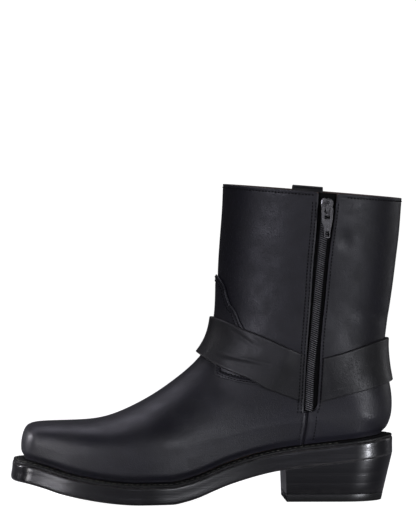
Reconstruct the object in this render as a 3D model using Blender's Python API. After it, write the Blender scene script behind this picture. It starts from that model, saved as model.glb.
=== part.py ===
# Right harness boot, standing on its sole.
# Frame: toe towards -X, inner side of the foot towards -Y, up +Z.
# Origin: the middle of the heel's resting face, on the floor.

import math

import bmesh
import bpy
import numpy as np
from mathutils import Matrix, Vector

for item in list(bpy.data.objects):
    bpy.data.objects.remove(item, do_unlink=True)

MM = 0.001

# Driving sizes, in metres
SOLE_LENGTH = 306.0 * MM
HEEL_REACH = 46.8 * MM
BALL_WIDTH = 111.0 * MM
TOE_SPRING = 18.8 * MM
HEEL_LIFT = 37.0 * MM
SOLE_THICKNESS = 14.0 * MM
SOLE_EDGE_ROUND = 1.4 * MM
WELT_THICKNESS = 3.2 * MM
WELT_EDGE = 1.7 * MM
WELT_WIDTH = 13.0 * MM
SEAT_MARGIN = 5.2 * MM
FIT_GAP = 0.3 * MM
LAYER_GAP = 0.42 * MM
LINING_GAP = 0.7 * MM
STRAP_GAP = 0.6 * MM
PLUG_GAP = 0.9 * MM
WALL_GAP = 0.5 * MM

COLLAR_FRONT = 252.3 * MM
COLLAR_BACK = 240.9 * MM
SHAFT_WIDTH = 91.0 * MM
LEATHER = 2.2 * MM
INSOLE_THICKNESS = 3.0 * MM

HEEL_LENGTH = 80.0 * MM
HEEL_TAPER = 3.0 * MM
HEEL_SLANT = 6.0 * MM
LIFT_THICKNESS = 6.0 * MM
LIFT_EDGE = 0.8 * MM
LIFT_INSET = 0.2 * MM
HEEL_INSET = 0.4 * MM
BREAST_LEAN = 1.2 * MM

STRAP_THICKNESS = 2.6 * MM
STRAP_CATCH = 2.4 * MM
STRAP_END = 2.0 * MM
STRAP_END_LEAN = 0.4
OVERLAY_THICKNESS = 1.3 * MM
STRAP_LAP = 26.0 * MM
# Turns over which the front strap climbs on to what lies under it, and how far before that
OVERLAY_RAMP = 0.06
LAP_RAMP = 0.10
RAMP_AHEAD = 0.03

ZIP_TAPE_THICKNESS = 0.8 * MM
ZIP_TAPE_LAP = 6.0 * MM
ZIP_CHAIN_WIDTH = 5.7 * MM
ZIP_CHAIN_THICKNESS = 2.0 * MM
ZIP_CHAIN_DROP = 5.7 * MM
SLIDER_DROP = 10.8 * MM
SLIDER_LENGTH = 14.0 * MM
SLIDER_WIDTH = 10.0 * MM
SLIDER_THICKNESS = 3.0 * MM
CROWN_WIDTH = 2.2 * MM
CROWN_THICKNESS = 1.2 * MM
CROWN_LENGTH = 10.0 * MM
PULL_LENGTH = 25.0 * MM
PULL_WIDTH = 9.6 * MM
PULL_TIP_WIDTH = 4.8 * MM
PULL_WINDOW = 9.0 * MM
PULL_THICKNESS = 1.3 * MM
PULL_SWING_GAP = 0.25 * MM
SLIDER_ROUND = 0.5 * MM
PULL_ROUND = 0.25 * MM

LOOP_WIDTH = 25.0 * MM
LOOP_THICKNESS = 1.6 * MM
LOOP_HEIGHT = 3.6 * MM
LOOP_LEG = 30.0 * MM
LOOP_SITE = -20.0 * MM

# Where the toe tip lies, from the origin
TOE_TIP = HEEL_REACH - SOLE_LENGTH

# Plan of the sole. Columns: along, from the toe tip, as a share of SOLE_LENGTH;
# medial and lateral edge and the last's ridge, from the centre plane, as shares of BALL_WIDTH;
# swell: how far the upper bulges past the seat, as a share of BALL_WIDTH
PLAN = np.array([
    (0.000, -0.400, 0.240, -0.080, 0.012),
    (0.050, -0.418, 0.262, -0.078, 0.014),
    (0.130, -0.468, 0.330, -0.070, 0.018),
    (0.230, -0.505, 0.398, -0.058, 0.020),
    (0.310, -0.512, 0.448, -0.048, 0.018),
    (0.380, -0.488, 0.480, -0.035, 0.016),
    (0.460, -0.415, 0.490, -0.022, 0.018),
    (0.540, -0.350, 0.465, -0.012, 0.026),
    (0.620, -0.305, 0.416, -0.005, 0.036),
    (0.700, -0.285, 0.362, 0.000, 0.042),
    (0.785, -0.288, 0.324, 0.000, 0.044),
    (0.870, -0.296, 0.308, 0.000, 0.044),
    (0.950, -0.294, 0.302, 0.000, 0.044),
    (1.000, -0.290, 0.298, 0.000, 0.044),
])

# Underside of the sole. Columns: along, as a share of SOLE_LENGTH; spring, as a share
# of TOE_SPRING; rise, as a share of HEEL_LIFT
TREAD = np.array([
    (0.000, 1.000, 0.000),
    (0.030, 0.935, 0.000),
    (0.085, 0.700, 0.000),
    (0.122, 0.500, 0.000),
    (0.158, 0.355, 0.000),
    (0.195, 0.235, 0.000),
    (0.232, 0.135, 0.000),
    (0.270, 0.060, 0.000),
    (0.305, 0.015, 0.000),
    (0.335, 0.000, 0.000),
    (0.415, 0.000, 0.000),
    (0.450, 0.000, 0.048),
    (0.485, 0.000, 0.130),
    (0.520, 0.000, 0.245),
    (0.560, 0.000, 0.375),
    (0.600, 0.000, 0.480),
    (0.640, 0.000, 0.572),
    (0.680, 0.000, 0.650),
    (0.720, 0.000, 0.710),
    (0.760, 0.000, 0.756),
    (0.830, 0.000, 0.818),
    (0.910, 0.000, 0.895),
    (1.000, 0.000, 1.000),
])

# Sections of the last, from the seat to the collar, each a loop round the foot or leg.
# Columns: front_x and back_x, as shares of SOLE_LENGTH from the origin; front_z and back_z,
# as shares of the way from the seat to the collar; droop: how far the loop follows the seat;
# foot: share of the sole's plan in its width; leg: half width as a share of SHAFT_WIDTH;
# swell: share of the bulge; ridge and heel: depth of the rounding at front and back,
# as shares of BALL_WIDTH; square: how square the front rounding is
LOOPS = np.array([
    (-0.8177, 0.1262, 0.000, 0.000, 1.00, 1.00, 0.400, 0.00, 0.145, 0.250, 3.1),
    (-0.8203, 0.1358, 0.046, 0.020, 0.95, 1.00, 0.400, 0.42, 0.145, 0.262, 3.1),
    (-0.8114, 0.1425, 0.100, 0.041, 0.88, 1.00, 0.400, 0.72, 0.145, 0.275, 3.1),
    (-0.7892, 0.1471, 0.124, 0.063, 0.80, 1.00, 0.400, 0.90, 0.155, 0.288, 3.1),
    (-0.7386, 0.1500, 0.130, 0.086, 0.68, 1.00, 0.400, 1.00, 0.185, 0.300, 3.0),
    (-0.6686, 0.1513, 0.133, 0.111, 0.54, 0.97, 0.400, 1.00, 0.240, 0.308, 2.8),
    (-0.5990, 0.1513, 0.144, 0.139, 0.40, 0.90, 0.400, 1.00, 0.315, 0.318, 2.6),
    (-0.5294, 0.1497, 0.183, 0.176, 0.27, 0.76, 0.402, 1.00, 0.390, 0.335, 2.4),
    (-0.4598, 0.1451, 0.239, 0.218, 0.14, 0.52, 0.405, 1.00, 0.460, 0.370, 2.25),
    (-0.3905, 0.1392, 0.311, 0.268, 0.05, 0.28, 0.408, 1.00, 0.520, 0.430, 2.15),
    (-0.3408, 0.1346, 0.386, 0.328, 0.00, 0.10, 0.410, 1.00, 0.575, 0.515, 2.1),
    (-0.3137, 0.1330, 0.471, 0.402, 0.00, 0.00, 0.414, 1.00, 0.615, 0.590, 2.1),
    (-0.3059, 0.1425, 0.587, 0.512, 0.00, 0.00, 0.424, 1.00, 0.640, 0.640, 2.1),
    (-0.3046, 0.1556, 0.721, 0.659, 0.00, 0.00, 0.446, 1.00, 0.650, 0.650, 2.1),
    (-0.2967, 0.1686, 0.852, 0.832, 0.00, 0.00, 0.474, 1.00, 0.655, 0.655, 2.1),
    (-0.2915, 0.1768, 1.000, 1.000, 0.00, 0.00, 0.500, 1.00, 0.660, 0.660, 2.1),
])

# Lines drawn on the side of the boot. Columns: x, as a share of SOLE_LENGTH from the origin;
# z, as a share of COLLAR_FRONT
FRONT_STRAP_TOP = np.array([
    (-0.390, 0.604), (-0.318, 0.582), (-0.285, 0.570), (-0.249, 0.551),
    (-0.197, 0.526), (-0.146, 0.498), (-0.091, 0.469), (0.030, 0.400),
])
FRONT_STRAP_FOOT = np.array([
    (-0.390, 0.478), (-0.359, 0.464), (-0.340, 0.450), (-0.314, 0.431), (-0.262, 0.405),
    (-0.223, 0.387), (-0.192, 0.366), (-0.145, 0.343), (-0.091, 0.318), (0.030, 0.256),
])
BACK_STRAP_TOP = np.array([
    (-0.120, 0.438), (-0.034, 0.457), (0.023, 0.475), (0.087, 0.499), (0.135, 0.515), (0.20, 0.537),
])
BACK_STRAP_FOOT = np.array([
    (-0.120, 0.304), (-0.034, 0.321), (0.023, 0.339), (0.088, 0.357), (0.147, 0.378), (0.20, 0.396),
])

# Outline of the instep overlay. Columns: turn round the leg from the front line, as a share
# of the half turn to the back; top and foot, as shares of COLLAR_FRONT
OVERLAY = np.array([
    (0.000, 0.715, 0.484),
    (0.040, 0.709, 0.480),
    (0.075, 0.696, 0.473),
    (0.100, 0.679, 0.464),
    (0.120, 0.645, 0.456),
    (0.140, 0.622, 0.446),
    (0.160, 0.611, 0.432),
    (0.176, 0.597, 0.417),
    (0.190, 0.576, 0.404),
    (0.215, 0.553, 0.396),
    (0.260, 0.515, 0.387),
    (0.310, 0.475, 0.379),
    (0.360, 0.435, 0.375),
    (0.410, 0.395, 0.371),
])

# The zip in the side view. Columns: z, as a share of COLLAR_FRONT; front and back edge of the
# slot and middle of the chain, as shares of SOLE_LENGTH from the origin
ZIP = np.array([
    (0.270, -0.0890, -0.0640, -0.0745),
    (0.288, -0.0889, -0.0560, -0.0740),
    (0.330, -0.0872, -0.0505, -0.0730),
    (0.392, -0.0850, -0.0477, -0.0715),
    (0.517, -0.0788, -0.0425, -0.0620),
    (0.642, -0.0712, -0.0324, -0.0530),
    (0.752, -0.0660, -0.0248, -0.0450),
    (0.861, -0.0585, -0.0144, -0.0370),
    (0.968, -0.0533, -0.0042, -0.0295),
    (1.100, -0.0500, 0.0060, -0.0200),
])
ZIP_FOOT = 0.284

# How finely the last is worked out and how finely each piece is meshed
DENSE_ROUND = 240
DENSE_UP = 150
UPPER_ROUND = 25
UPPER_UP = 27
STRAP_STEP = 0.035
STRAP_ACROSS = 4
ZIP_ROWS = 20
LOOP_COLUMNS = 6
SOLE_STATIONS = 36


def smooth_line(knots, values, where):
    """Natural cubic spline through the rows of values."""
    knots = np.asarray(knots, float)
    values = np.asarray(values, float)
    steps = np.diff(knots)
    count = len(knots)
    system = np.eye(count)
    right = np.zeros((count,) + values.shape[1:])
    slopes = np.diff(values, axis=0) / steps.reshape((-1,) + (1,) * (values.ndim - 1))
    for i in range(1, count - 1):
        system[i, i - 1] = steps[i - 1]
        system[i, i] = 2 * (steps[i - 1] + steps[i])
        system[i, i + 1] = steps[i]
        right[i] = 6 * (slopes[i] - slopes[i - 1])
    bends = np.linalg.solve(system, right)
    where = np.clip(np.asarray(where, float), knots[0], knots[-1])
    cell = np.clip(np.searchsorted(knots, where, side="right") - 1, 0, count - 2)
    h = steps[cell]
    a = (knots[cell + 1] - where) / h
    b = 1 - a
    if values.ndim > 1:
        a, b, h = a[..., None], b[..., None], h[..., None]
    cubic = ((a**3 - a) * bends[cell] + (b**3 - b) * bends[cell + 1]) * h**2 / 6
    return a * values[cell] + b * values[cell + 1] + cubic


def steady_line(knots, values, where):
    """Monotone cubic line, which keeps flat stretches flat."""
    knots = np.asarray(knots, float)
    values = np.asarray(values, float)
    steps = np.diff(knots)
    slopes = np.diff(values) / steps
    tangents = np.zeros(len(knots))
    for i in range(1, len(knots) - 1):
        if slopes[i - 1] * slopes[i] > 0:
            w1 = 2 * steps[i] + steps[i - 1]
            w2 = steps[i] + 2 * steps[i - 1]
            tangents[i] = (w1 + w2) / (w1 / slopes[i - 1] + w2 / slopes[i])
    tangents[0] = slopes[0]
    tangents[-1] = slopes[-1]
    where = np.clip(np.asarray(where, float), knots[0], knots[-1])
    cell = np.clip(np.searchsorted(knots, where, side="right") - 1, 0, len(knots) - 2)
    h = steps[cell]
    t = (where - knots[cell]) / h
    return (
        (2 * t**3 - 3 * t**2 + 1) * values[cell]
        + (t**3 - 2 * t**2 + t) * h * tangents[cell]
        + (3 * t**2 - 2 * t**3) * values[cell + 1]
        + (t**3 - t**2) * h * tangents[cell + 1]
    )


def rounding(depth, reach, square):
    """0 at the outline, 1 from reach inwards, on a superellipse."""
    q = np.clip(depth / reach, 0.0, 1.0)
    return (1 - (1 - q) ** square) ** (1 / square)


def plan_value(x, column):
    along = (np.asarray(x) - TOE_TIP) / SOLE_LENGTH
    return smooth_line(PLAN[:, 0], PLAN[:, column], along) * BALL_WIDTH


def tread_height(x):
    along = (np.asarray(x) - TOE_TIP) / SOLE_LENGTH
    spring = steady_line(TREAD[:, 0], TREAD[:, 1], along) * TOE_SPRING
    rise = steady_line(TREAD[:, 0], TREAD[:, 2], along) * HEEL_LIFT
    return spring + rise


def toe_lean(x):
    """How far the sole's edge leans back at the toe for each unit of height."""
    along = (np.asarray(x) - TOE_TIP) / SOLE_LENGTH
    step = 0.02
    ahead = steady_line(TREAD[:, 0], TREAD[:, 1], along - step)
    behind = steady_line(TREAD[:, 0], TREAD[:, 1], along + step)
    reach = np.clip(along + step, 0, 1) - np.clip(along - step, 0, 1)
    return (ahead - behind) / reach * TOE_SPRING / SOLE_LENGTH


def raised(x, height):
    """A point of the tread line, moved up through the sole by height."""
    lean = toe_lean(x)
    length = np.sqrt(1 + lean**2)
    return x + height * lean / length, tread_height(x) + height / length


DENSE_X = np.linspace(TOE_TIP, HEEL_REACH, 600)


def sole_height(x, height):
    """The height over the floor of the layer that lies height above the tread."""
    moved, level = raised(DENSE_X, height)
    return np.interp(x, moved, level)


TOE_ROUND = 0.155 * BALL_WIDTH
TOE_SQUARE = 3.1
BACK_ROUND = 0.300 * BALL_WIDTH
BACK_SQUARE = 2.1
SEAT_LEVEL = SOLE_THICKNESS + LAYER_GAP + WELT_THICKNESS + FIT_GAP


def edge_stations(inset, count, start=None):
    """Stations along the sole, closer where its outline turns, alike for every inset."""
    first = TOE_TIP if start is None else start
    turn = np.linspace(0, math.pi, 4001)
    if start is None:
        x = first + (HEEL_REACH - first) * (1 - np.cos(turn)) / 2
    else:
        x = first + (HEEL_REACH - first) * np.sin(turn / 2)
    y = sole_side(x, 1, 0.0)
    step = np.hypot(np.diff(x), np.diff(y))
    heading = np.unwrap(np.arctan2(np.diff(y), np.diff(x)))
    bend = np.abs(np.diff(heading, prepend=heading[0]))
    weight = 1.6 * step / step.sum() + bend / max(bend.sum(), 1e-9)
    total = np.concatenate([[0], np.cumsum(weight)])
    picked = np.interp(np.linspace(0, total[-1], count + 1), total, x)
    share = (picked - first) / (HEEL_REACH - first)
    share[0] = 0.0
    share[-1] = 1.0
    low = TOE_TIP + inset if start is None else start
    return low + share * (HEEL_REACH - inset - low)


def sole_side(x, side, inset):
    """Edge of the sole in plan, on the medial (-1) or lateral (+1) side."""
    middle = plan_value(x, 3)
    half = plan_value(x, 1 if side < 0 else 2) - middle - side * inset
    toe = rounding(x - TOE_TIP - inset, TOE_ROUND, TOE_SQUARE)
    back = rounding(HEEL_REACH - inset - x, BACK_ROUND, BACK_SQUARE)
    return middle + half * toe * back


def build_last():
    """Points of the upper's outside, in rows up the boot and turns round it."""
    rows = np.arange(len(LOOPS))
    v = np.linspace(0, rows[-1], DENSE_UP + 1)
    front_x = smooth_line(rows, LOOPS[:, 0], v) * SOLE_LENGTH
    back_x = smooth_line(rows, LOOPS[:, 1], v) * SOLE_LENGTH
    seat_front = sole_height(front_x[0], SEAT_LEVEL)
    seat_back = sole_height(back_x[0], SEAT_LEVEL)
    front_z = seat_front + smooth_line(rows, LOOPS[:, 2], v) * (COLLAR_FRONT - seat_front)
    back_z = seat_back + smooth_line(rows, LOOPS[:, 3], v) * (COLLAR_BACK - seat_back)
    droop, foot, leg, swell, ridge, heel, square = (
        steady_line(rows, LOOPS[:, column], v) for column in range(4, 11)
    )

    t = (1 - np.cos(np.linspace(0, math.pi, 401))) / 2
    t = 0.5 * t + 0.5 * t**2 * (3 - 2 * t)
    x = front_x[:, None] * (1 - t) + back_x[:, None] * t
    z = front_z[:, None] * (1 - t) + back_z[:, None] * t
    low_x = x[0]
    sag = sole_height(low_x, SEAT_LEVEL) - z[0]
    z = z + sag[None, :] * droop[:, None]

    front = np.stack([front_x, front_z], 1)
    back = np.stack([back_x, back_z], 1)
    to_front, near_front = distance_to_line(x, z, front, v)
    to_back, near_back = distance_to_line(x, z, back, v)
    ridge_depth = np.interp(near_front, v, ridge) * BALL_WIDTH
    ridge_square = np.interp(near_front, v, square)
    heel_depth = np.interp(near_back, v, heel) * BALL_WIDTH
    taper = rounding(to_front, ridge_depth, ridge_square) * rounding(to_back, heel_depth, 2.1)

    sides = []
    for side in (-1, 1):
        middle = plan_value(x, 3) * foot[:, None]
        plan = plan_value(x, 1 if side < 0 else 2) * side - SEAT_MARGIN
        plan = plan + plan_value(x, 4) * swell[:, None]
        half = plan * foot[:, None] + (leg * SHAFT_WIDTH * (1 - foot))[:, None]
        y = middle + (side * half - middle) * taper
        sides.append(np.stack([x, y, z], 2))

    turns = np.linspace(0, 1, DENSE_ROUND // 2 + 1)
    even = []
    for points in sides:
        length = np.linalg.norm(np.diff(points, axis=1), axis=2)
        total = np.concatenate([np.zeros((len(v), 1)), np.cumsum(length, axis=1)], axis=1)
        total /= total[:, -1:]
        rows_even = np.empty((len(v), len(turns), 3))
        for i in range(len(v)):
            for axis in range(3):
                rows_even[i, :, axis] = np.interp(turns, total[i], points[i, :, axis])
        even.append(rows_even)
    medial, lateral = even
    return np.concatenate([medial[:, ::-1], lateral[:, 1:]], axis=1)


def distance_to_line(x, z, line, v):
    """Distance of each point to a line in the side view, and where on it the nearest point is."""
    best = np.full(x.shape, np.inf)
    where = np.zeros(x.shape)
    for i in range(len(line) - 1):
        start = line[i]
        step = line[i + 1] - start
        t = ((x - start[0]) * step[0] + (z - start[1]) * step[1]) / (step @ step)
        t = np.clip(t, 0, 1)
        gap = (x - start[0] - t * step[0]) ** 2 + (z - start[1] - t * step[1]) ** 2
        closer = gap < best
        best = np.where(closer, gap, best)
        where = np.where(closer, v[i] + t * (v[i + 1] - v[i]), where)
    return np.sqrt(best), where


def outward(points):
    """Unit normals of the last, whose first and last columns are the same line."""
    padded = np.concatenate([points[:, -2:-1], points, points[:, 1:2]], axis=1)
    round_step = padded[:, 2:] - padded[:, :-2]
    up_step = np.gradient(points, axis=0)
    normal = np.cross(up_step, round_step)
    return normal / np.linalg.norm(normal, axis=2, keepdims=True)


LAST = build_last()
NORMAL = outward(LAST)
LEVEL_NORMAL = NORMAL * (1, 1, 0)
LEVEL_NORMAL /= np.linalg.norm(LEVEL_NORMAL, axis=2, keepdims=True)


def read_grid(grid, turn, up):
    """Bilinear reading. turn: -1 to 1, medial below 0, 0 at the front; up: 0 at the seat to 1."""
    turn, up = np.broadcast_arrays(np.asarray(turn, float), np.asarray(up, float))
    column = np.clip((turn + 1) / 2, 0, 1) * (grid.shape[1] - 1)
    row = np.clip(up, 0, 1) * (grid.shape[0] - 1)
    c = np.clip(column.astype(int), 0, grid.shape[1] - 2)
    r = np.clip(row.astype(int), 0, grid.shape[0] - 2)
    fc = (column - c)[..., None]
    fr = (row - r)[..., None]
    low = grid[r, c] * (1 - fc) + grid[r, c + 1] * fc
    high = grid[r + 1, c] * (1 - fc) + grid[r + 1, c + 1] * fc
    return low * (1 - fr) + high * fr


def skin(turn, up, lift=0.0):
    """A point of the upper's outside, moved out by lift."""
    normal = read_grid(NORMAL, turn, up)
    normal = normal / np.linalg.norm(normal, axis=-1, keepdims=True)
    return read_grid(LAST, turn, up) + normal * np.asarray(lift)[..., None]


def find_up(turn, line):
    """How far up a turn crosses a line drawn on the boot's side."""
    low = np.zeros(np.shape(turn))
    high = np.ones(np.shape(turn))
    for _ in range(40):
        middle = (low + high) / 2
        point = read_grid(LAST, turn, middle)
        over = point[..., 2] > line(point[..., 0])
        high = np.where(over, middle, high)
        low = np.where(over, low, middle)
    return (low + high) / 2


def find_turn(up, line, side):
    """How far round a row crosses an upright line drawn on the boot's side."""
    low = np.zeros(np.shape(up))
    high = np.ones(np.shape(up))
    for _ in range(40):
        middle = (low + high) / 2
        point = read_grid(LAST, side * middle, up)
        over = point[..., 0] > line(point[..., 2])
        high = np.where(over, middle, high)
        low = np.where(over, low, middle)
    return side * (low + high) / 2


def side_line(table):
    return lambda x: smooth_line(table[:, 0] * SOLE_LENGTH, table[:, 1] * COLLAR_FRONT, x)


def upright_line(table, column, shift=0.0):
    heights = table[:, 0] * COLLAR_FRONT
    return lambda z: smooth_line(heights, table[:, column] * SOLE_LENGTH, z) + shift


def make_object(name, verts, faces, colour, roughness, metallic=0.0):
    mesh = bpy.data.meshes.new(name)
    mesh.from_pydata([tuple(map(float, p)) for p in verts], [], [tuple(map(int, f)) for f in faces])
    shell = bmesh.new()
    shell.from_mesh(mesh)
    bmesh.ops.recalc_face_normals(shell, faces=shell.faces)
    shell.to_mesh(mesh)
    shell.free()
    mesh.shade_smooth()
    mesh.set_sharp_from_angle(angle=math.radians(40))
    thing = bpy.data.objects.new(name, mesh)
    bpy.context.scene.collection.objects.link(thing)
    paint(thing, colour, roughness, metallic)
    return thing


def paint(thing, colour, roughness, metallic):
    material = bpy.data.materials.new(thing.name)
    material.use_nodes = True
    shader = material.node_tree.nodes["Principled BSDF"]
    shader.inputs["Base Color"].default_value = (*colour, 1)
    shader.inputs["Roughness"].default_value = roughness
    shader.inputs["Metallic"].default_value = metallic
    thing.data.materials.clear()
    thing.data.materials.append(material)


def grid_faces(rows, columns, start=0, closed=False):
    """Quads over a grid of points stored row by row."""
    faces = []
    for r in range(rows - 1):
        for c in range(columns - (0 if closed else 1)):
            d = (c + 1) % columns
            a = start + r * columns
            faces.append((a + c, a + d, a + columns + d, a + columns + c))
    return faces


def patch(name, outer, inner, colour, roughness):
    """A sheet between two grids of points with the same rows and columns."""
    rows, columns = outer.shape[:2]
    verts = np.concatenate([outer.reshape(-1, 3), inner.reshape(-1, 3)])
    shift = rows * columns
    faces = grid_faces(rows, columns) + grid_faces(rows, columns, shift)
    rim = list(range(columns))
    rim += [r * columns + columns - 1 for r in range(1, rows)]
    rim += [(rows - 1) * columns + c for c in range(columns - 2, -1, -1)]
    rim += [r * columns for r in range(rows - 2, 0, -1)]
    for i, a in enumerate(rim):
        b = rim[(i + 1) % len(rim)]
        faces.append((a, b, b + shift, a + shift))
    return make_object(name, verts, faces, colour, roughness)


def sole_ring(x, inset, height):
    """A closed ring of the sole's outline: medial side toe to heel, lateral side back."""
    medial = sole_side(x, -1, inset)
    lateral = sole_side(x, 1, inset)
    moved, level = raised(x, height)
    near = np.stack([moved, medial, level], 1)
    far = np.stack([moved, lateral, level], 1)
    return np.concatenate([near, far[-2:0:-1]])


def plate(name, rings, colour, roughness):
    """A solid through rings of the sole's outline, capped by strips across it."""
    count = len(rings[0])
    verts = np.concatenate(rings)
    faces = grid_faces(len(rings), count, closed=True)
    for start in (0, count * (len(rings) - 1)):
        faces += ring_cap(start, count)
    return make_object(name, verts, faces, colour, roughness)


def ring_cap(start, count):
    """Strips between the two sides of a ring whose ends are single points."""
    half = count // 2
    faces = [(start, start + 1, start + count - 1)]
    for i in range(1, half - 1):
        faces.append((start + i, start + i + 1, start + count - i - 1, start + count - i))
    faces.append((start + half - 1, start + half, start + half + 1))
    return faces


def cut_away(thing, cutter):
    cutter.hide_render = True
    cutter.display_type = "WIRE"
    cut = thing.modifiers.new(cutter.name, "BOOLEAN")
    cut.operation = "DIFFERENCE"
    cut.solver = "EXACT"
    cut.object = cutter


BLACK_LEATHER = (0.020, 0.020, 0.023)
STRAP_LEATHER = (0.026, 0.026, 0.028)
SOLE_BLACK = (0.010, 0.010, 0.012)
LIFT_BLACK = (0.012, 0.012, 0.012)
INSOLE_BROWN = (0.25, 0.17, 0.10)
TAPE_BLACK = (0.02, 0.02, 0.02)
CHAIN_BLACK = (0.03, 0.03, 0.03)
METAL = (0.42, 0.41, 0.40)


# Upper

def upper_turns():
    """Turns of the mesh's columns, closer where the seat's outline bends."""
    rows = LAST[2 : DENSE_UP // 8 : 3]
    weight = 0
    for row in rows:
        step = np.diff(row[:, :2], axis=0)
        length = np.hypot(step[:, 0], step[:, 1])
        heading = np.unwrap(np.arctan2(step[:, 1], step[:, 0]))
        bend = np.abs(np.diff(heading, append=heading[-1]))
        weight = weight + length / length.sum() + bend / bend.sum()
    half = len(weight) // 2
    weight = weight[:half][::-1] + weight[half:]
    total = np.concatenate([[0], np.cumsum(weight)])
    turns = np.interp(np.linspace(0, total[-1], UPPER_ROUND + 1), total, np.linspace(0, 1, half + 1))
    return np.concatenate([-turns[::-1], turns[1:-1]])


def make_upper():
    turns = upper_turns()
    ups = np.linspace(0, 1, UPPER_UP + 1)
    grid_turn, grid_up = np.meshgrid(turns, ups)
    outer = skin(grid_turn, grid_up)
    inner = skin(grid_turn, grid_up, np.full(grid_turn.shape, -LEATHER))
    level = read_grid(LEVEL_NORMAL, turns, 0.0)
    inner[0] = outer[0] - level / np.linalg.norm(level, axis=1, keepdims=True) * LEATHER
    rows, columns = outer.shape[:2]
    verts = np.concatenate([outer.reshape(-1, 3), inner.reshape(-1, 3)])
    shift = rows * columns
    faces = grid_faces(rows, columns, closed=True) + grid_faces(rows, columns, shift, closed=True)
    for c in range(columns):
        d = (c + 1) % columns
        faces.append((c, d, d + shift, c + shift))
        top = (rows - 1) * columns
        faces.append((top + c, top + d, top + d + shift, top + c + shift))
    upper = make_object("upper", verts, faces, BLACK_LEATHER, 0.5)
    cut_away(upper, make_slot())
    return upper


def make_slot():
    """Cutter for the zip's opening, through the medial wall only."""
    heights = ZIP[:, 0] * COLLAR_FRONT
    front = ZIP[:, 1] * SOLE_LENGTH
    back = ZIP[:, 2] * SOLE_LENGTH
    near = -SHAFT_WIDTH
    far = -SHAFT_WIDTH / 5
    outline = list(zip(front, heights)) + list(zip(back[::-1], heights[::-1]))
    count = len(outline)
    verts = [(x, near, z) for x, z in outline] + [(x, far, z) for x, z in outline]
    faces = []
    for i in range(count // 2 - 1):
        for shift in (0, count):
            faces.append((shift + i, shift + i + 1, shift + count - 2 - i, shift + count - 1 - i))
    for i in range(count):
        j = (i + 1) % count
        faces.append((i, j, j + count, i + count))
    return make_object("slot_cutter", verts, faces, BLACK_LEATHER, 0.5)


# Sole, heel and insole

def make_outsole():
    top = SOLE_THICKNESS
    turned = SOLE_EDGE_ROUND
    shape = [
        (turned, 0.0), (turned * 0.3, turned * 0.45), (0.0, turned * 1.4),
        (0.0, top - turned), (turned * 0.5, top - turned * 0.3), (turned * 1.2, top),
    ]
    rings = [
        sole_ring(edge_stations(inset, SOLE_STATIONS), inset, height)
        for inset, height in shape
    ]
    return plate("outsole", rings, SOLE_BLACK, 0.3)


def make_welt():
    low = SOLE_THICKNESS + LAYER_GAP
    edge = SOLE_EDGE_ROUND * 0.4
    inner = WELT_WIDTH
    shape = [
        (edge, low), (edge, low + WELT_EDGE * 0.6), (edge * 2, low + WELT_EDGE),
        (SEAT_MARGIN * 0.8, low + WELT_THICKNESS), (inner, low + WELT_THICKNESS), (inner, low),
    ]
    rings = [
        sole_ring(edge_stations(inset, SOLE_STATIONS), inset, height)
        for inset, height in shape
    ]
    verts = np.concatenate(rings)
    count = len(rings[0])
    faces = grid_faces(len(rings), count, closed=True)
    last = (len(rings) - 1) * count
    for c in range(count):
        d = (c + 1) % count
        faces.append((c, d, last + d, last + c))
    return make_object("welt", verts, faces, SOLE_BLACK, 0.45)


def make_insole():
    """The wide part lies on the welt inside the upper, the plug fills the welt's ring."""
    plug = WELT_WIDTH + FIT_GAP
    low = SOLE_THICKNESS + PLUG_GAP
    shelf = SEAT_LEVEL + FIT_GAP
    x = edge_stations(plug, SOLE_STATIONS)
    rings = [
        sole_ring(x, plug, low),
        sole_ring(x, plug, shelf),
        inner_seat_ring(x, shelf),
        inner_seat_ring(x, shelf + INSOLE_THICKNESS),
    ]
    return plate("insole", rings, INSOLE_BROWN, 0.7)


def inner_seat_ring(stations, height):
    """A ring just inside the upper's wall at the seat, with stations spread like the given ones."""
    gap = LEATHER + WALL_GAP
    dense = np.linspace(0, 1, DENSE_ROUND // 2 + 1)
    share = (stations - stations[0]) / (stations[-1] - stations[0])
    sides = []
    for side in (-1, 1):
        level = read_grid(LEVEL_NORMAL, side * dense, 0.0)
        level /= np.linalg.norm(level, axis=1, keepdims=True)
        line = read_grid(LAST, side * dense, 0.0) - level * gap
        x = line[0, 0] + share * (line[-1, 0] - line[0, 0])
        y = np.interp(x, line[:, 0], line[:, 1])
        sides.append(np.stack([x, y, sole_height(x, height)], 1))
    medial, lateral = sides
    lateral[0] = medial[0]
    lateral[-1] = medial[-1]
    return np.concatenate([medial, lateral[-2:0:-1]])


def heel_ring(level_of, inset, slant, breast):
    """D-shaped ring: the straight breast, then the sides and the round back."""
    x = edge_stations(inset, SOLE_STATIONS // 2, start=breast)
    share = (x - breast) / (HEEL_REACH - breast)
    moved = x - slant * share
    medial = sole_side(x, -1, inset)
    lateral = sole_side(x, 1, inset)
    level = level_of(moved)
    near = np.stack([moved, medial, level], 1)
    far = np.stack([moved, lateral, level], 1)
    return np.concatenate([near, far[-2::-1]])


def heel_solid(name, rings, colour, roughness):
    count = len(rings[0])
    verts = np.concatenate(rings)
    faces = grid_faces(len(rings), count, closed=True)
    half = count // 2
    for start in (0, count * (len(rings) - 1)):
        for i in range(half - 1):
            faces.append((start + i, start + i + 1, start + count - 2 - i, start + count - 1 - i))
        faces.append((start + half - 1, start + half, start + half + 1))
    return make_object(name, verts, faces, colour, roughness)


def heel_stage(height):
    """Inset and slant of the heel at a height over the floor."""
    full = tread_height(HEEL_REACH)
    down = 1 - height / full
    return HEEL_TAPER * down, HEEL_SLANT * down


def level_at(height):
    return lambda x: np.full(np.shape(x), height)


def under_sole(x):
    return tread_height(x) - FIT_GAP


def breast_at(height):
    """The breast leans towards the toe on its way up to the sole."""
    return -HEEL_LENGTH / 2 - BREAST_LEAN * height / HEEL_LIFT


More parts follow.
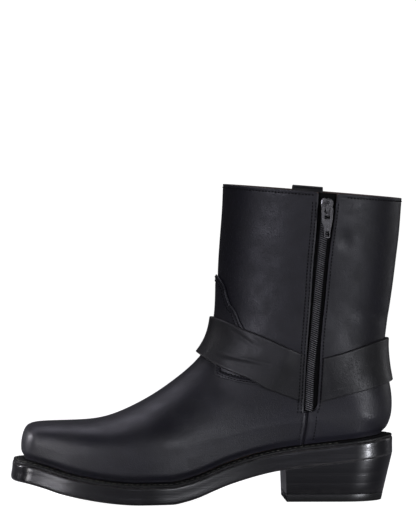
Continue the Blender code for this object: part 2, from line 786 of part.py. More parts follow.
def make_heel():
    top = tread_height(0.0) - FIT_GAP
    bottom = LIFT_THICKNESS + FIT_GAP
    middle = (bottom + top) / 2
    rings = []
    for height, rule in (
        (bottom, level_at(bottom)), (middle, level_at(middle)), (top, under_sole),
    ):
        inset, slant = heel_stage(height)
        rings.append(heel_ring(rule, inset + HEEL_INSET, slant, breast_at(height)))
    return heel_solid("heel_block", rings, SOLE_BLACK, 0.3)


def make_lift():
    rings = []
    for height, extra in ((0.0, LIFT_EDGE), (LIFT_EDGE, 0.0), (LIFT_THICKNESS, 0.0)):
        inset, slant = heel_stage(height)
        inset = inset + LIFT_INSET + extra
        rings.append(heel_ring(level_at(height), inset, slant, breast_at(height) + extra))
    return heel_solid("top_lift", rings, LIFT_BLACK, 0.6)


# Overlay and straps

def wrapped(turn):
    """Turns past the back line carry on round the other side."""
    turn = np.asarray(turn, float)
    return np.where(turn < -1, turn + 2, np.where(turn > 1, turn - 2, turn))


def turn_at(edge, line, side):
    """The turn where a line drawn on the boot's side meets an upright edge."""
    low = 0.0
    high = 1.0
    for _ in range(30):
        middle = (low + high) / 2
        up = find_up(np.array([side * middle]), line)
        point = read_grid(LAST, side * middle, up)[0]
        low, high = (low, middle) if point[0] > edge(point[2]) else (middle, high)
    return side * (low + high) / 2


def sheet(name, turns, ups, lift, thickness, colour, roughness):
    low = np.broadcast_to(lift, ups.shape)
    outer = skin(wrapped(turns), ups, low + thickness)
    inner = skin(wrapped(turns), ups, low)
    return patch(name, outer, inner, colour, roughness)


def between(low, high, share):
    """A line that runs between two others."""
    return lambda x: side_line(low)(x) * (1 - share) + side_line(high)(x) * share


def strap(name, foot, top, starts, ends, count, lift_of):
    """A strap between two lines, whose ends are cut along upright edges."""
    shares = np.linspace(0, 1, STRAP_ACROSS + 1)
    along = np.linspace(0, 1, count + 1)
    middle = STRAP_ACROSS // 2
    turns = []
    ups = []
    for share, start, end in zip(shares, starts, ends):
        even = starts[middle] + (ends[middle] - starts[middle]) * along
        even = even + (start - starts[middle]) * eased(1 - along * 3)
        even = even + (end - ends[middle]) * eased(along * 3 - 2)
        turns.append(even)
        ups.append(find_up(wrapped(even), between(foot, top, share)))
    turns = np.array(turns)
    return sheet(name, turns, np.array(ups), lift_of(turns), STRAP_THICKNESS, STRAP_LEATHER, 0.5)


OVERLAY_LIFT = OVERLAY_THICKNESS + 2 * STRAP_GAP


def make_overlay():
    half = OVERLAY[:, 0]
    turns = np.concatenate([-half[:0:-1], half])
    top = np.concatenate([OVERLAY[:0:-1, 1], OVERLAY[:, 1]]) * COLLAR_FRONT
    foot = np.concatenate([OVERLAY[:0:-1, 2], OVERLAY[:, 2]]) * COLLAR_FRONT
    up_top = find_up(turns, lambda x: top)
    up_foot = find_up(turns, lambda x: foot)
    share = np.linspace(0, 1, STRAP_ACROSS + 1)[:, None]
    ups = up_foot[None, :] * (1 - share) + up_top[None, :] * share
    turns = np.broadcast_to(turns, ups.shape)
    return sheet(
        "instep_overlay", turns, ups, STRAP_GAP, OVERLAY_THICKNESS, BLACK_LEATHER, 0.5
    )


def eased(value):
    value = np.clip(value, 0, 1)
    return value * value * (3 - 2 * value)


def slanted(x, table_low, table_high, slant):
    """An upright edge through x that leans with the strap's own square end."""
    level = between(table_low, table_high, 0.5)(x)
    return lambda z: x + slant * (z - level)


def make_straps():
    """Both straps start in the zip's seams and lap on the lateral side, the front one on top."""
    shares = np.linspace(0, 1, STRAP_ACROSS + 1)
    lines = (FRONT_STRAP_FOOT, FRONT_STRAP_TOP)
    seam = upright_line(ZIP, 1, -STRAP_CATCH)
    cut = slanted(-STRAP_END, *lines, STRAP_END_LEAN)
    starts = [turn_at(seam, between(*lines, share), -1) for share in shares]
    ends = [turn_at(cut, between(*lines, share), 1) for share in shares]
    lap_start = turn_at(lambda z: -STRAP_END - STRAP_LAP, between(*lines, 0.5), 1)

    def front_lift(turns):
        edge = OVERLAY[-1, 0] + RAMP_AHEAD + OVERLAY_RAMP
        over = eased((edge - np.abs(turns)) / OVERLAY_RAMP)
        lap = eased((turns - lap_start + RAMP_AHEAD + LAP_RAMP) / LAP_RAMP)
        lift = STRAP_GAP + (OVERLAY_LIFT - STRAP_GAP) * over
        return lift + (STRAP_THICKNESS + 2 * STRAP_GAP - lift) * lap

    count = int(round((ends[0] - starts[0]) / STRAP_STEP))
    strap("front_strap", *lines, starts, ends, count, front_lift)

    lines = (BACK_STRAP_FOOT, BACK_STRAP_TOP)
    seam = upright_line(ZIP, 2, STRAP_CATCH)
    hidden = -STRAP_END - STRAP_LAP
    starts = [turn_at(seam, between(*lines, share), -1) for share in shares]
    ends = [turn_at(lambda z: hidden, between(*lines, share), 1) - 2 for share in shares]
    count = int(round((starts[0] - ends[0]) / STRAP_STEP))
    strap("back_strap", *lines, starts, ends, count, lambda turns: STRAP_GAP + 0 * turns)


# Zip

TAPE_TOP = -LEATHER - LINING_GAP
CHAIN_LOW = TAPE_TOP + FIT_GAP
CHAIN_TOP = CHAIN_LOW + ZIP_CHAIN_THICKNESS


def zip_rim():
    """The collar's height over the chain."""
    turn = find_turn(np.array([1.0]), upright_line(ZIP, 3), -1)
    return float(read_grid(LAST, turn, 1.0)[0, 2])


def zip_rows(low, high, count):
    """Ups along the zip between two heights."""
    line = upright_line(ZIP, 3)
    ups = []
    for height in np.linspace(low, high, count):
        turn = find_turn_at_height(line(height), height)
        ups.append(find_up(np.array([turn]), level_at(height))[0])
    return np.array(ups)


def find_turn_at_height(x, height):
    low = 0.0
    high = 1.0
    for _ in range(30):
        middle = (low + high) / 2
        up = find_up(np.array([-middle]), level_at(height))
        over = read_grid(LAST, -middle, up)[0, 0] > x
        low, high = (low, middle) if over else (middle, high)
    return -(low + high) / 2


def upright_strip(name, ups, left, right, across, low, high, colour, roughness):
    """A strip up the medial side between two upright lines."""
    edge_left = find_turn(ups, left, -1)
    edge_right = find_turn(ups, right, -1)
    share = np.linspace(0, 1, across + 1)[:, None]
    turns = edge_left[None, :] * (1 - share) + edge_right[None, :] * share
    grid_up = np.broadcast_to(ups, turns.shape)
    return patch(
        name,
        skin(turns, grid_up, np.full(turns.shape, high)),
        skin(turns, grid_up, np.full(turns.shape, low)),
        colour,
        roughness,
    )


def make_zip_strips():
    foot = ZIP_FOOT * COLLAR_FRONT
    rim = zip_rim()
    ups = zip_rows(foot - ZIP_TAPE_LAP, rim, ZIP_ROWS)
    upright_strip(
        "zip_tape", ups,
        upright_line(ZIP, 1, -ZIP_TAPE_LAP), upright_line(ZIP, 2, ZIP_TAPE_LAP), 6,
        TAPE_TOP - ZIP_TAPE_THICKNESS, TAPE_TOP, TAPE_BLACK, 0.8,
    )
    ups = zip_rows(foot, rim - ZIP_CHAIN_DROP, ZIP_ROWS)
    half = ZIP_CHAIN_WIDTH / 2
    upright_strip(
        "zip_chain", ups,
        upright_line(ZIP, 3, -half), upright_line(ZIP, 3, half), 2,
        CHAIN_LOW, CHAIN_TOP, CHAIN_BLACK, 0.35,
    )


def slider_frame():
    """Sideways, up along the zip and outward, at the chain's middle under the slider."""
    height = zip_rim() - SLIDER_DROP
    reach = SLIDER_LENGTH / 2
    line = upright_line(ZIP, 3)
    points = []
    for level in (height - reach, height, height + reach):
        turn = find_turn_at_height(line(level), level)
        up = find_up(np.array([turn]), level_at(level))
        points.append(skin(np.array([turn]), up, np.zeros(1))[0])
    normal = read_grid(NORMAL, turn, up)[0]
    upward = points[2] - points[0]
    upward /= np.linalg.norm(upward)
    sideways = np.cross(upward, normal)
    sideways /= np.linalg.norm(sideways)
    outwards = np.cross(sideways, upward)
    return points[1], sideways, upward, outwards


SLIDER_SEAT = CHAIN_TOP + FIT_GAP
CROWN_HOLLOW = PULL_THICKNESS + 3 * PULL_SWING_GAP
HINGE_LIFT = SLIDER_SEAT + SLIDER_THICKNESS + CROWN_HOLLOW / 2


def prism(name, outline, low, high, colour, roughness, metallic):
    """An outline in its own x and z, extruded along its own y."""
    count = len(outline)
    verts = [(x, low, z) for x, z in outline] + [(x, high, z) for x, z in outline]
    faces = [tuple(range(count)), tuple(range(2 * count - 1, count - 1, -1))]
    for i in range(count):
        j = (i + 1) % count
        faces.append((i, j, j + count, i + count))
    return make_object(name, verts, faces, colour, roughness, metallic)


def placed(thing, origin, axis_x, axis_y, axis_z):
    matrix = Matrix.Identity(4)
    for column, axis in enumerate((axis_x, axis_y, axis_z)):
        for row in range(3):
            matrix[row][column] = float(axis[row])
    matrix.translation = Vector([float(value) for value in origin])
    thing.matrix_world = matrix
    return thing


def bevelled(thing, width, segments):
    edge = thing.modifiers.new("bevel", "BEVEL")
    edge.width = width
    edge.segments = segments
    edge.limit_method = "ANGLE"
    edge.angle_limit = math.radians(35)


def joined(thing, other):
    other.hide_render = True
    other.display_type = "WIRE"
    join = thing.modifiers.new(other.name, "BOOLEAN")
    join.operation = "UNION"
    join.solver = "EXACT"
    join.object = other


def make_slider():
    """The slider's body with its crown, on the chain near the collar."""
    origin, sideways, upward, outwards = slider_frame()
    inward = -outwards
    half = SLIDER_LENGTH / 2
    wide = SLIDER_WIDTH / 2
    outline = [
        (-wide * 0.66, -half), (wide * 0.66, -half), (wide * 0.82, -half * 0.2),
        (wide, half * 0.35), (wide * 0.94, half * 0.82), (wide * 0.55, half),
        (-wide * 0.55, half), (-wide * 0.94, half * 0.82), (-wide, half * 0.35),
        (-wide * 0.82, -half * 0.2),
    ]
    seat = SLIDER_SEAT
    face = seat + SLIDER_THICKNESS
    body = prism("zip_slider", outline, -face, -seat, METAL, 0.3, 1.0)
    placed(body, origin, sideways, inward, upward)

    reach = CROWN_LENGTH / 2
    inner = reach - CROWN_THICKNESS * 1.3
    roof = face + CROWN_HOLLOW
    crest = roof + CROWN_THICKNESS
    sunk = face - SLIDER_THICKNESS * 0.4
    arch = [
        (-reach, sunk), (-reach, face), (-reach * 0.80, crest - CROWN_THICKNESS * 0.35),
        (-reach * 0.55, crest), (reach * 0.55, crest),
        (reach * 0.80, crest - CROWN_THICKNESS * 0.35), (reach, face), (reach, sunk),
        (inner, sunk), (inner, face), (inner * 0.80, roof), (-inner * 0.80, roof),
        (-inner, face), (-inner, sunk),
    ]
    count = len(arch)
    side = CROWN_WIDTH / 2
    verts = [(-side, -lift, along) for along, lift in arch]
    verts += [(side, -lift, along) for along, lift in arch]
    cheek = [(0, 1, 12, 13), (1, 2, 11, 12), (2, 3, 4, 5, 10, 11), (5, 6, 9, 10), (6, 7, 8, 9)]
    faces = list(cheek)
    faces += [tuple(count + i for i in reversed(corners)) for corners in cheek]
    for i in range(count):
        j = (i + 1) % count
        faces.append((i, j, j + count, i + count))
    crown = make_object("crown", verts, faces, METAL, 0.3, 1.0)
    placed(crown, origin, sideways, inward, upward)
    bevelled(body, SLIDER_ROUND, 2)
    joined(body, crown)
    return origin, sideways, outwards


def make_pull(origin, sideways, outwards):
    """The pull hangs plumb from a bar through the slider's crown."""
    hinge = origin + outwards * HINGE_LIFT
    axis = sideways * (1, 1, 0)
    axis /= np.linalg.norm(axis)
    plumb = np.array([0.0, 0.0, 1.0])
    deep = np.cross(plumb, axis)
    half = PULL_THICKNESS / 2
    top = half
    wide = PULL_WIDTH / 2
    tip = PULL_TIP_WIDTH / 2
    foot = half - PULL_LENGTH
    outline = [
        (-wide * 0.80, top), (wide * 0.80, top), (wide, top - wide * 0.30),
        (wide * 0.96, foot * 0.36), (tip * 1.05, foot * 0.80), (tip, foot + tip * 0.5),
        (tip * 0.6, foot), (-tip * 0.6, foot), (-tip, foot + tip * 0.5),
        (-tip * 1.05, foot * 0.80), (-wide * 0.96, foot * 0.36), (-wide, top - wide * 0.30),
    ]
    pull = prism("zip_pull", outline, -half, half, METAL, 0.3, 1.0)
    placed(pull, hinge, axis, deep, plumb)
    window = CROWN_WIDTH / 2 + 4 * PULL_SWING_GAP
    opening = prism(
        "pull_window",
        [(-window, -PULL_WINDOW), (window, -PULL_WINDOW), (window, -half), (-window, -half)],
        -4 * half, 4 * half, METAL, 0.3, 1.0,
    )
    placed(opening, hinge, axis, deep, plumb)
    eye = tip * 0.62
    eye_foot = foot + tip * 0.55
    hole = prism(
        "pull_eye",
        [(-eye, eye_foot), (eye, eye_foot), (eye, eye_foot + 1.7 * tip), (-eye, eye_foot + 1.7 * tip)],
        -4 * half, 4 * half, METAL, 0.3, 1.0,
    )
    placed(hole, hinge, axis, deep, plumb)
    cut_away(pull, opening)
    cut_away(pull, hole)
    bevelled(pull, PULL_ROUND, 1)
    return pull


# Pull loop at the collar

def make_pull_loop():
    """A strip of leather folded over the collar on the lateral side, its legs sewn down."""
    edges = [
        find_turn(np.array([1.0]), level_at(LOOP_SITE + side * LOOP_WIDTH / 2), 1)[0]
        for side in (-1, 1)
    ]
    turns = np.linspace(*edges, LOOP_COLUMNS)
    rim = read_grid(LAST, turns, 1.0)[:, 2]
    outside = FIT_GAP
    inside = -LEATHER - LINING_GAP
    middle = (outside + inside) / 2
    hollow = (outside - inside) / 2
    steps = [(drop, 0.0) for drop in (1.0, 0.66, 0.33)]
    steps += [(0.0, angle) for angle in np.linspace(0, math.pi, 7)]
    steps += [(drop, math.pi) for drop in (0.33, 0.66, 1.0)]
    outer = []
    inner = []
    for drop, angle in steps:
        ups = find_up(turns, level_at(rim - drop * LOOP_LEG))
        base = read_grid(LAST, turns, ups)
        normal = read_grid(NORMAL, turns, ups)
        normal = normal / np.linalg.norm(normal, axis=1, keepdims=True)
        for rows, half, rise in (
            (outer, hollow + LOOP_THICKNESS, LOOP_HEIGHT),
            (inner, hollow, LOOP_HEIGHT - LOOP_THICKNESS),
        ):
            over = np.array([0, 0, rise * math.sin(angle)])
            rows.append(base + normal * (middle + half * math.cos(angle)) + over)
    return patch("pull_loop", np.array(outer), np.array(inner), STRAP_LEATHER, 0.5)


make_upper()
make_outsole()
make_welt()
make_insole()
make_heel()
make_lift()
make_overlay()
make_straps()
make_zip_strips()
make_pull(*make_slider())
make_pull_loop()
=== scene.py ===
import math

import bpy
import numpy as np
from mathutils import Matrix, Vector


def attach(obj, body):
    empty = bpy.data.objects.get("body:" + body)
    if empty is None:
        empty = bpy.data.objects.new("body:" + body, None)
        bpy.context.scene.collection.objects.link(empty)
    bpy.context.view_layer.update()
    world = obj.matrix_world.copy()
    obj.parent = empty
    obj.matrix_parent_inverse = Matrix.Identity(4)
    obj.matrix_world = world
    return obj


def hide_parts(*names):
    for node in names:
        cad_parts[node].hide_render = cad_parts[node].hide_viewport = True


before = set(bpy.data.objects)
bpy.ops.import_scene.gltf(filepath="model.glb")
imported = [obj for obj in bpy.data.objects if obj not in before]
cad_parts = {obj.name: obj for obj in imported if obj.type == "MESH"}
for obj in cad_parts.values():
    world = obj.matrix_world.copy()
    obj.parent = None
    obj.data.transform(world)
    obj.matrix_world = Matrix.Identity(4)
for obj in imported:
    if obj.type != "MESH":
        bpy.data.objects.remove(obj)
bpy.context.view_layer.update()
mm = 0.001

# The boot's own sizes. Toe towards -X, inner side towards -Y, origin under the heel.
boot = {
    "soleLength": 306.0 * mm,
    "heelReach": 46.8 * mm,
    "ballWidth": 111.0 * mm,
    "toeSpring": 18.8 * mm,
    "heelLift": 37.0 * mm,
    "soleThickness": 14.0 * mm,
    "weltThickness": 3.2 * mm,
    "seatMargin": 5.2 * mm,
    "collarFront": 252.3 * mm,
    "collarBack": 240.9 * mm,
    "shaftWidth": 91.0 * mm,
    "leather": 2.2 * mm,
    "layerGap": 0.42 * mm,
    "fitGap": 0.3 * mm,
}
toeTip = boot["heelReach"] - boot["soleLength"]
seatLevel = boot["soleThickness"] + boot["layerGap"] + boot["weltThickness"] + boot["fitGap"]

# Plan of the sole: along, inner edge, outer edge, ridge, swell
planTable = np.array([
    (0.000, -0.400, 0.240, -0.080, 0.012), (0.050, -0.418, 0.262, -0.078, 0.014),
    (0.130, -0.468, 0.330, -0.070, 0.018), (0.230, -0.505, 0.398, -0.058, 0.020),
    (0.310, -0.512, 0.448, -0.048, 0.018), (0.380, -0.488, 0.480, -0.035, 0.016),
    (0.460, -0.415, 0.490, -0.022, 0.018), (0.540, -0.350, 0.465, -0.012, 0.026),
    (0.620, -0.305, 0.416, -0.005, 0.036), (0.700, -0.285, 0.362, 0.000, 0.042),
    (0.785, -0.288, 0.324, 0.000, 0.044), (0.870, -0.296, 0.308, 0.000, 0.044),
    (0.950, -0.294, 0.302, 0.000, 0.044), (1.000, -0.290, 0.298, 0.000, 0.044),
])
# Underside of the sole: along, toe spring, rise to the heel
treadTable = np.array([
    (0.000, 1.000, 0.000), (0.030, 0.935, 0.000), (0.085, 0.700, 0.000), (0.122, 0.500, 0.000),
    (0.158, 0.355, 0.000), (0.195, 0.235, 0.000), (0.232, 0.135, 0.000), (0.270, 0.060, 0.000),
    (0.305, 0.015, 0.000), (0.335, 0.000, 0.000), (0.415, 0.000, 0.000), (0.450, 0.000, 0.048),
    (0.485, 0.000, 0.130), (0.520, 0.000, 0.245), (0.560, 0.000, 0.375), (0.600, 0.000, 0.480),
    (0.640, 0.000, 0.572), (0.680, 0.000, 0.650), (0.720, 0.000, 0.710), (0.760, 0.000, 0.756),
    (0.830, 0.000, 0.818), (0.910, 0.000, 0.895), (1.000, 0.000, 1.000),
])
# Loops round the last, seat to collar: front and back x, front and back z, droop, foot, leg, swell, ridge,
# heel, square
loopTable = np.array([
    (-0.8177, 0.1262, 0.000, 0.000, 1.00, 1.00, 0.400, 0.00, 0.145, 0.250, 3.1),
    (-0.8203, 0.1358, 0.046, 0.020, 0.95, 1.00, 0.400, 0.42, 0.145, 0.262, 3.1),
    (-0.8114, 0.1425, 0.100, 0.041, 0.88, 1.00, 0.400, 0.72, 0.145, 0.275, 3.1),
    (-0.7892, 0.1471, 0.124, 0.063, 0.80, 1.00, 0.400, 0.90, 0.155, 0.288, 3.1),
    (-0.7386, 0.1500, 0.130, 0.086, 0.68, 1.00, 0.400, 1.00, 0.185, 0.300, 3.0),
    (-0.6686, 0.1513, 0.133, 0.111, 0.54, 0.97, 0.400, 1.00, 0.240, 0.308, 2.8),
    (-0.5990, 0.1513, 0.144, 0.139, 0.40, 0.90, 0.400, 1.00, 0.315, 0.318, 2.6),
    (-0.5294, 0.1497, 0.183, 0.176, 0.27, 0.76, 0.402, 1.00, 0.390, 0.335, 2.4),
    (-0.4598, 0.1451, 0.239, 0.218, 0.14, 0.52, 0.405, 1.00, 0.460, 0.370, 2.25),
    (-0.3905, 0.1392, 0.311, 0.268, 0.05, 0.28, 0.408, 1.00, 0.520, 0.430, 2.15),
    (-0.3408, 0.1346, 0.386, 0.328, 0.00, 0.10, 0.410, 1.00, 0.575, 0.515, 2.1),
    (-0.3137, 0.1330, 0.471, 0.402, 0.00, 0.00, 0.414, 1.00, 0.615, 0.590, 2.1),
    (-0.3059, 0.1425, 0.587, 0.512, 0.00, 0.00, 0.424, 1.00, 0.640, 0.640, 2.1),
    (-0.3046, 0.1556, 0.721, 0.659, 0.00, 0.00, 0.446, 1.00, 0.650, 0.650, 2.1),
    (-0.2967, 0.1686, 0.852, 0.832, 0.00, 0.00, 0.474, 1.00, 0.655, 0.655, 2.1),
    (-0.2915, 0.1768, 1.000, 1.000, 0.00, 0.00, 0.500, 1.00, 0.660, 0.660, 2.1),
])
# Lines on the inner side, x as a share of the sole's length and z of the collar's height
frontStrapTop = np.array([
    (-0.390, 0.604), (-0.318, 0.582), (-0.285, 0.570), (-0.249, 0.551),
    (-0.197, 0.526), (-0.146, 0.498), (-0.091, 0.469), (0.030, 0.400),
])
frontStrapFoot = np.array([
    (-0.390, 0.478), (-0.359, 0.464), (-0.340, 0.450), (-0.314, 0.431), (-0.262, 0.405),
    (-0.223, 0.387), (-0.192, 0.366), (-0.145, 0.343), (-0.091, 0.318), (0.030, 0.256),
])
backStrapTop = np.array([
    (-0.120, 0.438), (-0.034, 0.457), (0.023, 0.475), (0.087, 0.499), (0.135, 0.515), (0.20, 0.537),
])
backStrapFoot = np.array([
    (-0.120, 0.304), (-0.034, 0.321), (0.023, 0.339), (0.088, 0.357), (0.147, 0.378), (0.20, 0.396),
])
# Instep overlay: turn from the front line, top, foot
overlayTable = np.array([
    (0.000, 0.715, 0.484), (0.040, 0.709, 0.480), (0.075, 0.696, 0.473), (0.100, 0.679, 0.464),
    (0.120, 0.645, 0.456), (0.140, 0.622, 0.446), (0.160, 0.611, 0.432), (0.176, 0.597, 0.417),
    (0.190, 0.576, 0.404), (0.215, 0.553, 0.396), (0.260, 0.515, 0.387), (0.310, 0.475, 0.379),
    (0.360, 0.435, 0.375), (0.410, 0.395, 0.371),
])
# Zip: height, slot's front and back edge, middle of the chain
zipTable = np.array([
    (0.270, -0.0890, -0.0640, -0.0745), (0.288, -0.0889, -0.0560, -0.0740),
    (0.330, -0.0872, -0.0505, -0.0730), (0.392, -0.0850, -0.0477, -0.0715),
    (0.517, -0.0788, -0.0425, -0.0620), (0.642, -0.0712, -0.0324, -0.0530),
    (0.752, -0.0660, -0.0248, -0.0450), (0.861, -0.0585, -0.0144, -0.0370),
    (0.968, -0.0533, -0.0042, -0.0295), (1.100, -0.0500, 0.0060, -0.0200),
])
# Seam under the zip and plain seam on the outer side: height, x
underSeamTable = np.array([
    (0.060, -0.0935), (0.160, -0.0915), (0.193, -0.0886), (0.234, -0.0833), (0.278, -0.0800),
    (0.300, -0.0790),
])
outerSeamTable = np.array([
    (0.060, -0.0950), (0.160, -0.0920), (0.278, -0.0850), (0.500, -0.0780), (0.750, -0.0700),
    (1.000, -0.0654),
])


def unit(vectors):
    return vectors / np.linalg.norm(vectors, axis=-1, keepdims=True)


def hump(gap, centre, width):
    return np.exp(-(((gap - centre) / width) ** 2))


def cellOf(knots, where):
    where = np.clip(np.asarray(where, float), knots[0], knots[-1])
    return where, np.clip(np.searchsorted(knots, where, side="right") - 1, 0, len(knots) - 2)


def naturalLine(knots, values, where):  # natural cubic spline
    knots = np.asarray(knots, float)
    values = np.asarray(values, float)
    steps = np.diff(knots)
    count = len(knots)
    system = np.eye(count)
    right = np.zeros(count)
    slopes = np.diff(values) / steps
    for i in range(1, count - 1):
        system[i, i - 1] = steps[i - 1]
        system[i, i] = 2 * (steps[i - 1] + steps[i])
        system[i, i + 1] = steps[i]
        right[i] = 6 * (slopes[i] - slopes[i - 1])
    bends = np.linalg.solve(system, right)
    where, cell = cellOf(knots, where)
    h = steps[cell]
    a = (knots[cell + 1] - where) / h
    b = 1 - a
    cubic = ((a**3 - a) * bends[cell] + (b**3 - b) * bends[cell + 1]) * h**2 / 6
    return a * values[cell] + b * values[cell + 1] + cubic


def steadyLine(knots, values, where):  # monotone cubic, keeps flat stretches flat
    knots = np.asarray(knots, float)
    values = np.asarray(values, float)
    steps = np.diff(knots)
    slopes = np.diff(values) / steps
    tangents = np.zeros(len(knots))
    for i in range(1, len(knots) - 1):
        if slopes[i - 1] * slopes[i] > 0:
            w1 = 2 * steps[i] + steps[i - 1]
            w2 = steps[i] + 2 * steps[i - 1]
            tangents[i] = (w1 + w2) / (w1 / slopes[i - 1] + w2 / slopes[i])
    tangents[0] = slopes[0]
    tangents[-1] = slopes[-1]
    where, cell = cellOf(knots, where)
    h = steps[cell]
    t = (where - knots[cell]) / h
    return (
        (2 * t**3 - 3 * t**2 + 1) * values[cell]
        + (t**3 - 2 * t**2 + t) * h * tangents[cell]
        + (3 * t**2 - 2 * t**3) * values[cell + 1]
        + (t**3 - t**2) * h * tangents[cell + 1]
    )


def rounding(depth, reach, square):
    q = np.clip(depth / reach, 0.0, 1.0)
    return (1 - (1 - q) ** square) ** (1 / square)


def eased(value):
    value = np.clip(value, 0, 1)
    return value * value * (3 - 2 * value)


def alongSole(x):
    return (np.asarray(x) - toeTip) / boot["soleLength"]


def planAt(x, column):
    return naturalLine(planTable[:, 0], planTable[:, column], alongSole(x)) * boot["ballWidth"]


def treadShare(along, column):
    return steadyLine(treadTable[:, 0], treadTable[:, column], along)


def treadAt(x):
    along = alongSole(x)
    return treadShare(along, 1) * boot["toeSpring"] + treadShare(along, 2) * boot["heelLift"]


def toeLean(x):
    low = alongSole(x) - 0.02
    high = alongSole(x) + 0.02
    reach = np.clip(high, 0, 1) - np.clip(low, 0, 1)
    return (treadShare(low, 1) - treadShare(high, 1)) / reach * boot["toeSpring"] / boot["soleLength"]


def raised(x, height):
    lean = toeLean(x)
    length = np.sqrt(1 + lean**2)
    return x + height * lean / length, treadAt(x) + height / length


denseX = np.linspace(toeTip, boot["heelReach"], 900)


def soleLevel(x, height):
    moved, level = raised(denseX, height)
    return np.interp(x, moved, level)


def soleSide(x, side, inset):
    middle = planAt(x, 3)
    half = planAt(x, 1 if side < 0 else 2) - middle - side * inset
    toe = rounding(x - toeTip - inset, 0.155 * boot["ballWidth"], 3.1)
    back = rounding(boot["heelReach"] - inset - x, 0.300 * boot["ballWidth"], 2.1)
    return middle + half * toe * back


def edgeStations(inset, count, start=None, backInset=None):
    first = toeTip if start is None else start
    turn = np.linspace(0, math.pi, 4001)
    dense = (1 - np.cos(turn)) / 2 if start is None else np.sin(turn / 2)
    x = first + (boot["heelReach"] - first) * dense
    y = soleSide(x, 1, 0.0)
    step = np.hypot(np.diff(x), np.diff(y))
    heading = np.unwrap(np.arctan2(np.diff(y), np.diff(x)))
    bend = np.abs(np.diff(heading, prepend=heading[0]))
    weight = 1.6 * step / step.sum() + bend / max(bend.sum(), 1e-9)
    total = np.concatenate([[0], np.cumsum(weight)])
    picked = np.interp(np.linspace(0, total[-1], count + 1), total, x)
    share = (picked - first) / (boot["heelReach"] - first)
    share[0] = 0.0
    share[-1] = 1.0
    low = toeTip + inset if start is None else start
    return low + share * (boot["heelReach"] - (inset if backInset is None else backInset) - low)


def distanceToLine(x, z, line, v):
    best = np.full(x.shape, np.inf)
    where = np.zeros(x.shape)
    for i in range(len(line) - 1):
        start = line[i]
        step = line[i + 1] - start
        t = np.clip(((x - start[0]) * step[0] + (z - start[1]) * step[1]) / (step @ step), 0, 1)
        gap = (x - start[0] - t * step[0]) ** 2 + (z - start[1] - t * step[1]) ** 2
        closer = gap < best
        best = np.where(closer, gap, best)
        where = np.where(closer, v[i] + t * (v[i + 1] - v[i]), where)
    return np.sqrt(best), where


def buildLast(denseUp, denseRound):
    rows = np.arange(len(loopTable))
    v = np.linspace(0, rows[-1], denseUp + 1)
    frontX = naturalLine(rows, loopTable[:, 0], v) * boot["soleLength"]
    backX = naturalLine(rows, loopTable[:, 1], v) * boot["soleLength"]
    seatFront = soleLevel(frontX[0], seatLevel)
    seatBack = soleLevel(backX[0], seatLevel)
    frontZ = seatFront + naturalLine(rows, loopTable[:, 2], v) * (boot["collarFront"] - seatFront)
    backZ = seatBack + naturalLine(rows, loopTable[:, 3], v) * (boot["collarBack"] - seatBack)
    droop, foot, leg, swell, ridge, heel, square = (
        steadyLine(rows, loopTable[:, column], v) for column in range(4, 11)
    )
    t = (1 - np.cos(np.linspace(0, math.pi, 601))) / 2
    t = 0.5 * t + 0.5 * t**2 * (3 - 2 * t)
    x = frontX[:, None] * (1 - t) + backX[:, None] * t
    z = frontZ[:, None] * (1 - t) + backZ[:, None] * t
    sag = soleLevel(x[0], seatLevel) - z[0]
    z = z + sag[None, :] * droop[:, None]
    toFront, nearFront = distanceToLine(x, z, np.stack([frontX, frontZ], 1), v)
    toBack, nearBack = distanceToLine(x, z, np.stack([backX, backZ], 1), v)
    reach = np.interp(nearFront, v, ridge) * boot["ballWidth"]
    taper = rounding(toFront, reach, np.interp(nearFront, v, square))
    taper = taper * rounding(toBack, np.interp(nearBack, v, heel) * boot["ballWidth"], 2.1)
    turns = np.linspace(0, 1, denseRound // 2 + 1)
    even = []
    for side in (-1, 1):
        middle = planAt(x, 3) * foot[:, None]
        plan = planAt(x, 1 if side < 0 else 2) * side - boot["seatMargin"] + planAt(x, 4) * swell[:, None]
        half = plan * foot[:, None] + (leg * boot["shaftWidth"] * (1 - foot))[:, None]
        points = np.stack([x, middle + (side * half - middle) * taper, z], 2)
        length = np.linalg.norm(np.diff(points, axis=1), axis=2)
        total = np.concatenate([np.zeros((len(v), 1)), np.cumsum(length, axis=1)], axis=1)
        total /= total[:, -1:]
        evenRows = np.empty((len(v), len(turns), 3))
        for i in range(len(v)):
            for axis in range(3):
                evenRows[i, :, axis] = np.interp(turns, total[i], points[i, :, axis])
        even.append(evenRows)
    return np.concatenate([even[0][:, ::-1], even[1][:, 1:]], axis=1)


def softened(grid, reach):  # evens out the joints between the last's sections, ends kept
    steps = np.arange(-3 * reach, 3 * reach + 1)
    weights = np.exp(-0.5 * (steps / reach) ** 2)
    below = 2 * grid[:1] - grid[3 * reach : 0 : -1]
    above = 2 * grid[-1:] - grid[-2 : -3 * reach - 2 : -1]
    tall = np.concatenate([below, grid, above])
    return sum(w * tall[i : i + len(grid)] for i, w in enumerate(weights / weights.sum()))


lastGrid = softened(buildLast(300, 480), 6)
wrapped = np.concatenate([lastGrid[:, -2:-1], lastGrid, lastGrid[:, 1:2]], axis=1)
lastNormal = unit(np.cross(np.gradient(lastGrid, axis=0), wrapped[:, 2:] - wrapped[:, :-2]))
print("last ready")


def cubicWeights(f):
    return (
        -0.5 * f + f**2 - 0.5 * f**3, 1 - 2.5 * f**2 + 1.5 * f**3,
        0.5 * f + 2 * f**2 - 1.5 * f**3, -0.5 * f**2 + 0.5 * f**3,
    )


